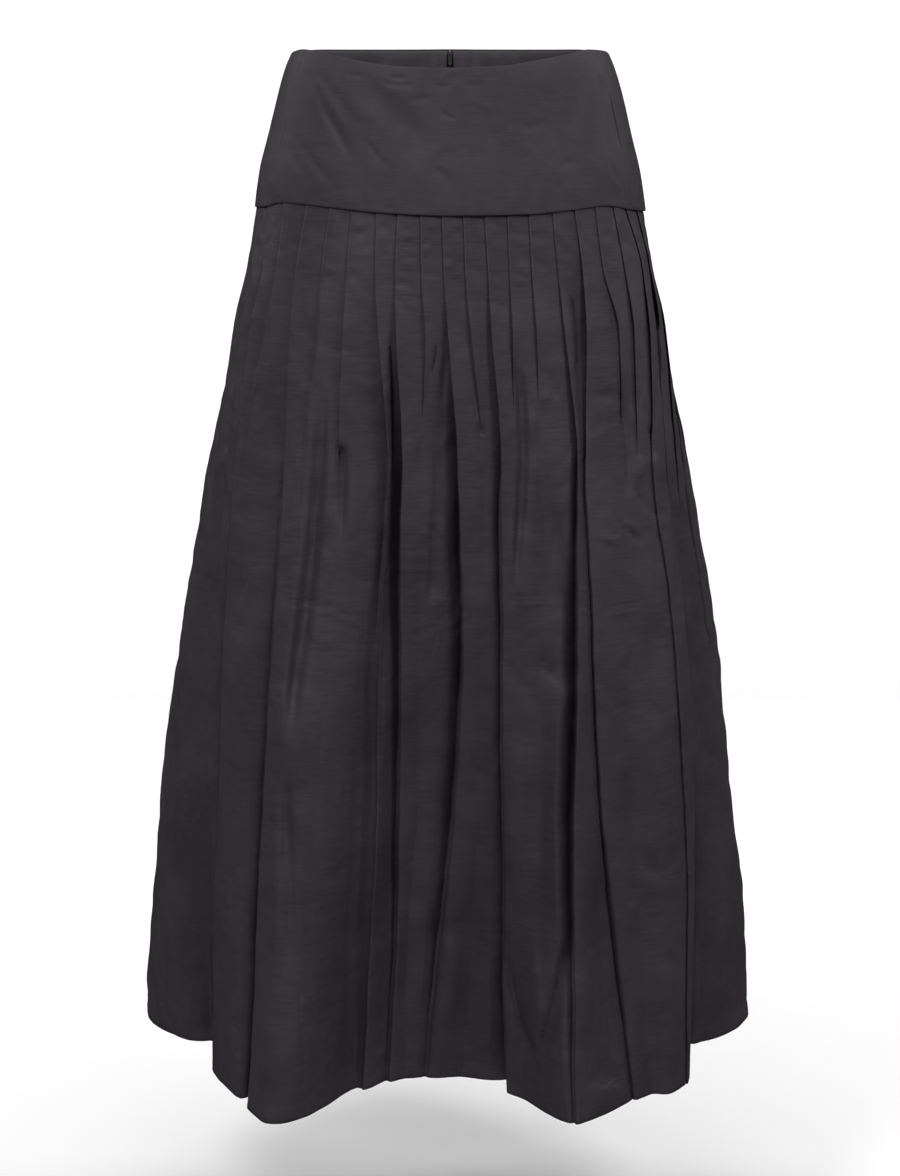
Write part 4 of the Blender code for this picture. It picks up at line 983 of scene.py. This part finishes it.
YOKE_CREASES = [
    # the broad drag from the upper left to the middle, and its lighter shoulder
    (-1.1, (9, 16), "soft", (0.3, 0.3), ((-75, -19), (-46, -46), (-13, -84))),
    (0.5, (8, 12), "soft", (0.3, 0.3), ((-60, -17), (-29, -45), (2, -75))),
    # drags that run in from the left corner and the left side seam
    (-0.55, (3, 4), "soft", (0.15, 0.35), ((-112, -14), (-102, -34), (-91, -56), (-76, -80))),
    (-0.5, (3, 4), "soft", (0.2, 0.3), ((-100, -43), (-87, -66), (-73, -90))),
    (0.35, (3, 4), "soft", (0.2, 0.3), ((-108, -19), (-93, -43), (-79, -64))),
    (-0.45, (3, 5), "soft", (0.2, 0.4), ((-105, -16), (-85, -40), (-65, -67))),
    (-0.5, (3, 4), "soft", (0.3, 0.3), ((-123, -61), (-107, -86), (-87, -109))),
    (-0.35, (4, 5), "soft", (0.3, 0.3), ((-130, -71), (-116, -93), (-102, -115))),
    (-0.4, (2.5, 3), "soft", (0.3, 0.3), ((-67, -69), (-56, -83), (-46, -94))),
    # small wrinkles across, close under the waist edge
    (-0.3, (1.8, 1.8), "soft", (0.3, 0.3), ((-81, -21), (-65, -22))),
    (-0.35, (1.8, 2.2), "soft", (0.3, 0.3), ((-55, -26), (-40, -29), (-25, -29))),
    (-0.4, (1.8, 1.8), "soft", (0.3, 0.3), ((-49, -23), (-32, -24))),
    (-0.35, (1.8, 1.8), "soft", (0.3, 0.3), ((-12, -30), (3, -29))),
    (-0.25, (1.8, 1.8), "soft", (0.3, 0.3), ((14, -29), (25, -28))),
    (-0.3, (2.2, 2.2), "soft", (0.3, 0.3), ((-34, -41), (-12, -38))),
    (-0.4, (2.2, 2.2), "soft", (0.3, 0.3), ((-9, -49), (6, -56))),
    (-0.4, (3, 3), "soft", (0.3, 0.3), ((-12, -90), (-3, -100), (-2, -110))),
    (-0.35, (3, 3), "soft", (0.3, 0.3), ((54, -63), (76, -56))),
    (-0.3, (3, 3), "soft", (0.3, 0.3), ((82, -92), (99, -86))),
    # the turn to the right side
    (-0.35, (5, 6), "soft", (0.3, 0.3), ((102, -8), (99, -34), (91, -67))),
    (0.45, (5, 6), "soft", (0.3, 0.3), ((109, -10), (108, -36), (105, -78))),
]
YOKE_BACK_CREASES = [
    (-0.9, (8, 12), "soft", (0.3, 0.3), ((80, -22), (54, -52), (26, -90))),
    (0.45, (7, 10), "soft", (0.3, 0.3), ((66, -18), (40, -48), (16, -78))),
    (-0.5, (3, 4), "soft", (0.2, 0.3), ((-112, -30), (-92, -56), (-70, -80))),
    (-0.45, (3, 5), "soft", (0.2, 0.3), ((-100, -20), (-82, -44), (-60, -66))),
    (-0.5, (2.2, 2.4), "soft", (0.3, 0.3), ((-46, -24), (-24, -27))),
    (-0.5, (2.2, 2.4), "soft", (0.3, 0.3), ((12, -30), (30, -33))),
    (-0.4, (2.2, 2.4), "soft", (0.3, 0.3), ((-30, -44), (-8, -47))),
    (-0.45, (3, 4), "soft", (0.3, 0.3), ((118, -70), (100, -92), (86, -112))),
    (-0.35, (3, 3), "soft", (0.3, 0.3), ((-60, -96), (-44, -104), (-26, -108))),
]


def yoke_soft(seed):
    def lift(x, y, z, part):
        fade = np.clip(part / 0.12, 0, 1) * np.clip((1 - part) / 0.05, 0, 1)
        return (noise3(x, y, z, 55.0, seed) * 0.30 + crumple(x, y, z * 1.3, seed * 7, 0.9) * 0.15) * fade
    return lift


half = math.degrees(0.15 / 160.0)
yoke_front, yoke_front_pts, yoke_rows = band(
    "yoke_front_cloth", SIDE_SEAM_RIGHT + half, SIDE_SEAM_LEFT - half, 230, 0.0, 1.0, yoke_out, 1.3, 80,
    [("front", YOKE_CREASES)], None, 5, yoke_soft(51))
yoke_bl, yoke_bl_pts, _ = band(
    "yoke_back_left_cloth", SIDE_SEAM_LEFT + half, 180.0, 150, 0.0, 1.0, yoke_out, 1.3, 56,
    [("back", YOKE_BACK_CREASES)], 0.06, 6, yoke_soft(61), least=-0.55)
yoke_br, yoke_br_pts, _ = band(
    "yoke_back_right_cloth", -180.0, SIDE_SEAM_RIGHT - half, 150, 0.0, 1.0, yoke_out, 1.3, 56,
    [("back", YOKE_BACK_CREASES)], -0.06, 7, yoke_soft(71), least=-0.55)


def facing_out(part):
    return yoke_out(0.0) - 1.3 - 0.25


# The facing lies close inside the yoke, so it creases away from it, into the skirt.
FACING_CREASES = [
    (-1.1, (2.2, 4), "soft", (0.2, 0.1), ((-7, -6), (-15, -10), (-21, -18))),
    (-0.9, (1.6, 3), "soft", (0.2, 0.1), ((-3, -7), (-6, -17))),
    (-1.1, (2.0, 4), "soft", (0.2, 0.1), ((24, -8), (21, -18))),
    (-0.6, (3, 4), "soft", (0.3, 0.2), ((8, -7), (14, -18))),
    (-0.8, (2.0, 3), "soft", (0.2, 0.1), ((-50, -6), (-58, -16))),
    (-0.7, (2.0, 3), "soft", (0.2, 0.1), ((52, -6), (60, -15))),
]


def past_the_tape(x, y, z, part):
    """The facing turns in beside the zip and lies over its tapes."""
    soft = noise3(x, y, z, 30.0, 77) * 0.35 * np.clip((np.abs(x) - 4.0) / 12.0, 0, 1)
    return soft - 1.75 * np.clip((21.0 - np.abs(x)) / 4.0, 0, 1) * (y > 0)


facing_l, facing_l_pts, facing_rows = band("facing_back_left_cloth", SIDE_SEAM_LEFT + half, 180.0, 110, 0.01, 0.36,
                                           facing_out, 0.8, 22, [("back", FACING_CREASES)], 2.6, 8, past_the_tape, 0.1)
facing_r, facing_r_pts, _ = band("facing_back_right_cloth", -180.0, SIDE_SEAM_RIGHT - half, 110, 0.01, 0.36,
                                 facing_out, 0.8, 22, [("back", FACING_CREASES)], -2.6, 9, past_the_tape, 0.1)


# ------------------------------------------------------------------ stitches
def stitch_run(name, points, outs, pitch, length, wide, tall):
    """Stitches as small rounded grains along lines of points (mm), with the way
    out of the cloth at each point. Returns one joined mesh."""
    ring_at = np.array([-0.5, -0.28, -0.28, -0.28, -0.28, 0.28, 0.28, 0.28, 0.28, 0.5]) * length
    side = np.array([0, -1, 0, 1, 0, -1, 0, 1, 0, 0]) * wide / 2
    up = np.array([-0.6, 0, 1, 0, -1, 0, 1, 0, -1, -0.6]) * tall
    grain = [(0, 2, 1), (0, 3, 2), (0, 4, 3), (0, 1, 4), (1, 2, 6, 5), (2, 3, 7, 6), (3, 4, 8, 7), (4, 1, 5, 8),
             (9, 5, 6), (9, 6, 7), (9, 7, 8), (9, 8, 5)]
    verts, faces = [], []
    for line, out in zip(points, outs):
        line, out = np.array(line), np.array(out)
        run = np.concatenate([[0], np.cumsum(np.linalg.norm(np.diff(line, axis=0), axis=1))])
        for at in np.arange(pitch * 0.6, run[-1] - length * 0.5, pitch):
            p = np.array([np.interp(at, run, line[:, k]) for k in range(3)])
            q = np.array([np.interp(at + 0.4, run, line[:, k]) for k in range(3)])
            o = np.array([np.interp(at, run, out[:, k]) for k in range(3)])
            along = (q - p) / np.linalg.norm(q - p)
            o = o - along * np.dot(o, along)
            o /= np.linalg.norm(o)
            cross = np.cross(along, o)
            base = len(verts)
            verts += [p + along * ring_at[k] + cross * side[k] + o * up[k] for k in range(10)]
            faces += [tuple(base + v for v in f) for f in grain]
    return mesh_object(name, np.array(verts), faces)


def fold_lines(grid, rows, first, last, right=0.9, to=51.0):
    """Lines down each pleat's face, just right of its fold edge, over the stitched
    length, and the way out of the cloth along them."""
    lines, outs = [], []
    keep = [r for r, d in enumerate(rows) if 0.0 <= d <= to]
    for i in range(first, last + 1):
        c = (i - first) * PER_PLEAT + EDGE_AT + 1
        line, out = [], []
        for r in keep:
            pts = grid[r, c:c + 7]
            run = np.concatenate([[0], np.cumsum(np.linalg.norm(np.diff(pts, axis=0), axis=1))])
            p = np.array([np.interp(right, run, pts[:, k]) for k in range(3)])
            over = pts[5] - pts[1]
            o = np.cross(over, np.array([0.0, 0.0, 1.0]))
            o /= np.linalg.norm(o)
            line.append(p + o * 0.04)
            out.append(o)
        lines.append(line)
        outs.append(out)
    return lines, outs


stitches = []
for tag, grid_of, rows_of, a, b in (("front", front_grid, ROWS_FRONT, 0, SIDE_PLEAT - 1),
                                    ("back_left", back_left_grid, ROWS_BACK, SIDE_PLEAT, BACK_PLEAT - 1),
                                    ("back_right", back_right_grid, ROWS_BACK, BACK_PLEAT, PLEATS - 1)):
    lines, outs = fold_lines(grid_of, rows_of, a, b)
    stitches.append(stitch_run("stitches_" + tag, lines, outs, 2.3, 1.05, 0.27, 0.15))
# the row that holds the facing down, close under the waist edge inside
for tag, pts_of in (("left", facing_l_pts), ("right", facing_r_pts)):
    first_in = facing_rows + 3
    inner = pts_of[first_in:first_in + 8]        # the inner side, from the bottom up
    top_row = inner[-1]
    line = top_row + (inner[-2] - top_row) * (1.1 / np.linalg.norm(inner[-2] - top_row, axis=1))[:, None]
    way = -np.stack([line[:, 0], line[:, 1], 0 * line[:, 2]], -1)
    way /= np.linalg.norm(way, axis=1)[:, None]
    line = line + way * 0.03
    stitches.append(stitch_run("stitches_facing_" + tag, [line[2:-2]], [way[2:-2]], 2.3, 1.5, 0.4, 0.18))
# ---------------------------------------------------------------- materials
def node(tree, kind, at=(0, 0), **values):
    n = tree.nodes.new(kind)
    n.location = at
    for k, v in values.items():
        if hasattr(n, k):
            setattr(n, k, v)
        else:
            n.inputs[k.replace("_", " ")].default_value = v
    return n


def cloth_material(name, colour, deep, rough=0.51, sheen=0.0, shine=0.11):
    """Taffeta: a close plain weave with fine crosswise slubs, a soft lustre and
    faint handling creases."""
    mat = bpy.data.materials.new(name)
    mat.use_nodes = True
    t = mat.node_tree
    shader = t.nodes["Principled BSDF"]
    link = t.links.new
    place = node(t, "ShaderNodeTexCoord")
    # crosswise slubs: long along the thread, thin across it
    slub_map = node(t, "ShaderNodeMapping")
    slub_map.inputs["Scale"].default_value = (55.0, 55.0, 640.0)
    slub = node(t, "ShaderNodeTexNoise", Scale=1.0, Detail=3.0, Roughness=0.6)
    link(place.outputs["Object"], slub_map.inputs["Vector"])
    link(slub_map.outputs["Vector"], slub.inputs["Vector"])
    warp_map = node(t, "ShaderNodeMapping")
    warp_map.inputs["Scale"].default_value = (1300.0, 1300.0, 90.0)
    warp = node(t, "ShaderNodeTexNoise", Scale=1.0, Detail=2.0, Roughness=0.5)
    link(place.outputs["Object"], warp_map.inputs["Vector"])
    link(warp_map.outputs["Vector"], warp.inputs["Vector"])
    cloud = node(t, "ShaderNodeTexNoise", Scale=14.0, Detail=3.0, Roughness=0.55)
    link(place.outputs["Object"], cloud.inputs["Vector"])
    crush_map = node(t, "ShaderNodeMapping")
    crush_map.inputs["Scale"].default_value = (1.0, 1.0, 0.7)
    crush = node(t, "ShaderNodeTexNoise", noise_type="RIDGED_MULTIFRACTAL", Scale=48.0, Detail=3.0,
                 Roughness=0.5, Distortion=0.6)
    link(place.outputs["Object"], crush_map.inputs["Vector"])
    link(crush_map.outputs["Vector"], crush.inputs["Vector"])
    ramp = node(t, "ShaderNodeMapRange")
    ramp.inputs["From Min"].default_value = 0.3
    ramp.inputs["From Max"].default_value = 0.7
    link(slub.outputs["Fac"], ramp.inputs["Value"])
    mix = node(t, "ShaderNodeMix", data_type="RGBA")
    mix.inputs["A"].default_value = (*deep, 1.0)
    mix.inputs["B"].default_value = (*colour, 1.0)
    fac = node(t, "ShaderNodeMath", operation="MULTIPLY_ADD")
    fac.inputs[1].default_value = 0.5
    link(ramp.outputs["Result"], fac.inputs[0])
    cl = node(t, "ShaderNodeMapRange")
    cl.inputs["From Min"].default_value = 0.35
    cl.inputs["From Max"].default_value = 0.65
    cl.inputs["To Min"].default_value = 0.1
    cl.inputs["To Max"].default_value = 0.6
    link(cloud.outputs["Fac"], cl.inputs["Value"])
    link(cl.outputs["Result"], fac.inputs[2])
    link(fac.outputs["Value"], mix.inputs["Factor"])
    link(mix.outputs["Result"], shader.inputs["Base Color"])
    rr = node(t, "ShaderNodeMapRange")
    rr.inputs["From Min"].default_value = 0.3
    rr.inputs["From Max"].default_value = 0.7
    rr.inputs["To Min"].default_value = rough - 0.05
    rr.inputs["To Max"].default_value = rough + 0.07
    link(slub.outputs["Fac"], rr.inputs["Value"])
    link(rr.outputs["Result"], shader.inputs["Roughness"])
    b1 = node(t, "ShaderNodeBump", Strength=0.6, Distance=0.0021)
    link(crush.outputs["Fac"], b1.inputs["Height"])
    b2 = node(t, "ShaderNodeBump", Strength=0.5, Distance=0.00026)
    link(slub.outputs["Fac"], b2.inputs["Height"])
    link(b1.outputs["Normal"], b2.inputs["Normal"])
    b3 = node(t, "ShaderNodeBump", Strength=0.3, Distance=0.00012)
    link(warp.outputs["Fac"], b3.inputs["Height"])
    link(b2.outputs["Normal"], b3.inputs["Normal"])
    link(b3.outputs["Normal"], shader.inputs["Normal"])
    shader.inputs["Specular IOR Level"].default_value = shine
    shader.inputs["Sheen Weight"].default_value = sheen
    shader.inputs["Sheen Roughness"].default_value = 0.35
    shader.inputs["Sheen Tint"].default_value = (0.9, 0.88, 0.92, 1.0)
    return mat


def plain_material(name, colour, rough, metallic=0.0, grain=300.0, depth=0.00008, spread=0.15, tall=1.0,
                   shine=0.25):
    """A small part's finish: its colour and gloss vary a little with a fine grain."""
    mat = bpy.data.materials.new(name)
    mat.use_nodes = True
    t = mat.node_tree
    shader = t.nodes["Principled BSDF"]
    place = node(t, "ShaderNodeTexCoord")
    mapping = node(t, "ShaderNodeMapping")
    mapping.inputs["Scale"].default_value = (1.0, 1.0, tall)
    tex = node(t, "ShaderNodeTexNoise", Scale=grain, Detail=3.0, Roughness=0.6)
    t.links.new(place.outputs["Object"], mapping.inputs["Vector"])
    t.links.new(mapping.outputs["Vector"], tex.inputs["Vector"])
    mix = node(t, "ShaderNodeMix", data_type="RGBA")
    mix.inputs["A"].default_value = (*[c * (1 - spread) for c in colour], 1.0)
    mix.inputs["B"].default_value = (*[min(1, c * (1 + spread)) for c in colour], 1.0)
    t.links.new(tex.outputs["Fac"], mix.inputs["Factor"])
    t.links.new(mix.outputs["Result"], shader.inputs["Base Color"])
    rr = node(t, "ShaderNodeMapRange")
    rr.inputs["To Min"].default_value = max(0.05, rough - 0.08)
    rr.inputs["To Max"].default_value = min(1, rough + 0.08)
    t.links.new(tex.outputs["Fac"], rr.inputs["Value"])
    t.links.new(rr.outputs["Result"], shader.inputs["Roughness"])
    bump = node(t, "ShaderNodeBump", Strength=0.4, Distance=depth)
    t.links.new(tex.outputs["Fac"], bump.inputs["Height"])
    t.links.new(bump.outputs["Normal"], shader.inputs["Normal"])
    shader.inputs["Metallic"].default_value = metallic
    shader.inputs["Specular IOR Level"].default_value = shine
    return mat


CLOTH_COLOUR, CLOTH_DEEP = (0.0330, 0.0292, 0.0343), (0.0205, 0.0180, 0.0212)
cloth = cloth_material("charcoal_taffeta", CLOTH_COLOUR, CLOTH_DEEP)
for ob in (front, back_left, back_right):
    ob.data.materials.append(cloth)
# the yoke is backed, so it lies smoother and looks a little duller
yoke_cloth = cloth_material("charcoal_taffeta_backed", tuple(0.98 * v for v in CLOTH_COLOUR),
                            tuple(1.12 * v for v in CLOTH_DEEP), 0.55, 0.0, 0.07)
for ob in (yoke_front, yoke_bl, yoke_br):
    ob.data.materials.append(yoke_cloth)
# the facing is the same taffeta, its colour painted 1.7 times lighter as painted light, so the inside back shows as
# bright as the lit front yoke
facing_cloth_painted_light = cloth_material("charcoal_taffeta_facing_painted_light", tuple(1.7 * v for v in CLOTH_COLOUR),
                              tuple(1.7 * v for v in CLOTH_DEEP), 0.55, 0.0, 0.07)
for ob in (facing_l, facing_r):
    ob.data.materials.append(facing_cloth_painted_light)
thread = plain_material("pale_thread", (0.125, 0.118, 0.124), 0.6, 0.0, 900.0, 0.00005, 0.2)
dark_thread = plain_material("facing_thread", (0.085, 0.080, 0.086), 0.6, 0.0, 900.0, 0.00005, 0.2)
for ob in stitches:
    ob.data.materials.append(dark_thread if "facing" in ob.name else thread)

tape_mat = plain_material("zip_tape_weave", (0.03, 0.029, 0.032), 0.85, 0.0, 900.0, 0.0001, 0.3, 0.4)
nylon_mat = plain_material("zip_nylon", (0.028, 0.027, 0.03), 0.38)
metal_mat = plain_material("zip_enamel", (0.022, 0.021, 0.023), 0.45, 0.2)
for name, mat in (("zip_tape_left", tape_mat), ("zip_tape_right", tape_mat), ("zip_coil", nylon_mat),
                  ("zip_slider", metal_mat), ("zip_pull", metal_mat)):
    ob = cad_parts[name]
    if not ob.material_slots:
        ob.data.materials.append(mat)
    for sl in ob.material_slots:
        sl.material = mat

# ------------------------------------------------------------ riding, sheets
for ob, nodes in ((front, ["skirt_front"]), (back_left, ["skirt_back_left"]), (back_right, ["skirt_back_right"]),
                  (yoke_front, ["yoke_front"]), (yoke_bl, ["yoke_back_left"]), (yoke_br, ["yoke_back_right"]),
                  (facing_l, ["facing_back_left"]), (facing_r, ["facing_back_right"])):
    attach(ob, "skirt")
    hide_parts(*nodes)
for ob in stitches:
    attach(ob, "skirt")


# -------------------------------------------------------------------- studio
def aim(ob, target):
    v = np.array(target) - np.array(ob.location)
    from mathutils import Vector
    ob.rotation_mode = "QUATERNION"
    ob.rotation_quaternion = Vector(v.tolist()).to_track_quat("-Z", "Y")


def softbox(name, at, target, size, watts, colour=(1, 1, 1)):
    data = bpy.data.lights.new(name, "AREA")
    data.shape = "RECTANGLE"
    data.size, data.size_y = size
    data.energy = watts
    data.color = colour
    ob = bpy.data.objects.new(name, data)
    bpy.context.scene.collection.objects.link(ob)
    ob.location = at
    aim(ob, target)
    return ob


def floor_and_wall():
    """A pale floor, and a wall that sweeps up far behind and lights nothing."""
    pale = plain_material("studio_pale", (0.86, 0.86, 0.86), 0.9, 0.0, 6.0, 0.0, 0.01)

    def strip(name, prof):
        verts, faces = [], []
        for y, z in prof:
            verts += [(-7000.0, y * 1000, z * 1000), (7000.0, y * 1000, z * 1000)]
        for k in range(len(prof) - 1):
            faces.append([2 * k, 2 * k + 1, 2 * k + 3, 2 * k + 2])
        ob = mesh_object(name, np.array(verts), faces)
        ob.data.materials.append(pale)
        return ob

    strip("studio_floor", [(-6.0, -1.05), (1.2, -1.05)]).visible_glossy = False
    wall = strip("studio_wall", [(1.2, -1.05), (2.4, -1.05)]
                 + [(2.4 + 1.2 * math.sin(a), -1.05 + 1.2 * (1 - math.cos(a)))
                    for a in (math.pi / 2 * k / 12 for k in range(1, 13))] + [(3.6, 5.0)])
    wall.visible_diffuse = False
    wall.visible_glossy = False


floor_and_wall()
softbox("key", (-1.05, -1.7, 1.45), (0.0, 0.0, 0.15), (0.8, 0.8), 48)
softbox("fill", (1.5, -1.3, 1.3), (0.0, 0.0, 0.1), (0.8, 0.9), 36)
softbox("top", (0.0, -0.75, 1.45), (0.0, 0.0, -0.1), (1.3, 0.9), 20)
softbox("wall_left", (-2.2, 1.2, 1.5), (0.0, 3.6, 0.0), (1.6, 2.2), 90)
softbox("wall_right", (2.2, 1.2, 1.5), (0.0, 3.6, 0.0), (1.6, 2.2), 90)
world = bpy.data.worlds.new("studio")
world.use_nodes = True
back = world.node_tree.nodes["Background"]
back.inputs["Color"].default_value = (1.0, 1.0, 1.0, 1.0)
seen = world.node_tree.nodes.new("ShaderNodeLightPath")
level = world.node_tree.nodes.new("ShaderNodeMapRange")
level.inputs["To Min"].default_value = 0.05      # the light it gives
level.inputs["To Max"].default_value = 1.0       # how it looks itself
world.node_tree.links.new(seen.outputs["Is Camera Ray"], level.inputs["Value"])
world.node_tree.links.new(level.outputs["Result"], back.inputs["Strength"])
bpy.context.scene.world = world
bpy.context.scene.view_settings.view_transform = "Standard"
bpy.context.scene.view_settings.look = "None"

cam_data = bpy.data.cameras.new("camera")
cam_data.sensor_width = 36.0
cam_data.sensor_fit = "AUTO"
cam_data.lens = 36.0 * (math.hypot(2.3, 0.39) / 0.85e-3) / 1176.0
cam = bpy.data.objects.new("camera", cam_data)
bpy.context.scene.collection.objects.link(cam)
cam.location = (0.0, -2.3, -0.0573)
cam.rotation_euler = (math.pi / 2 - math.atan2(0.39, 2.3), 0.0, 0.0)
cam_data.dof.use_dof = False
bpy.context.scene.camera = cam
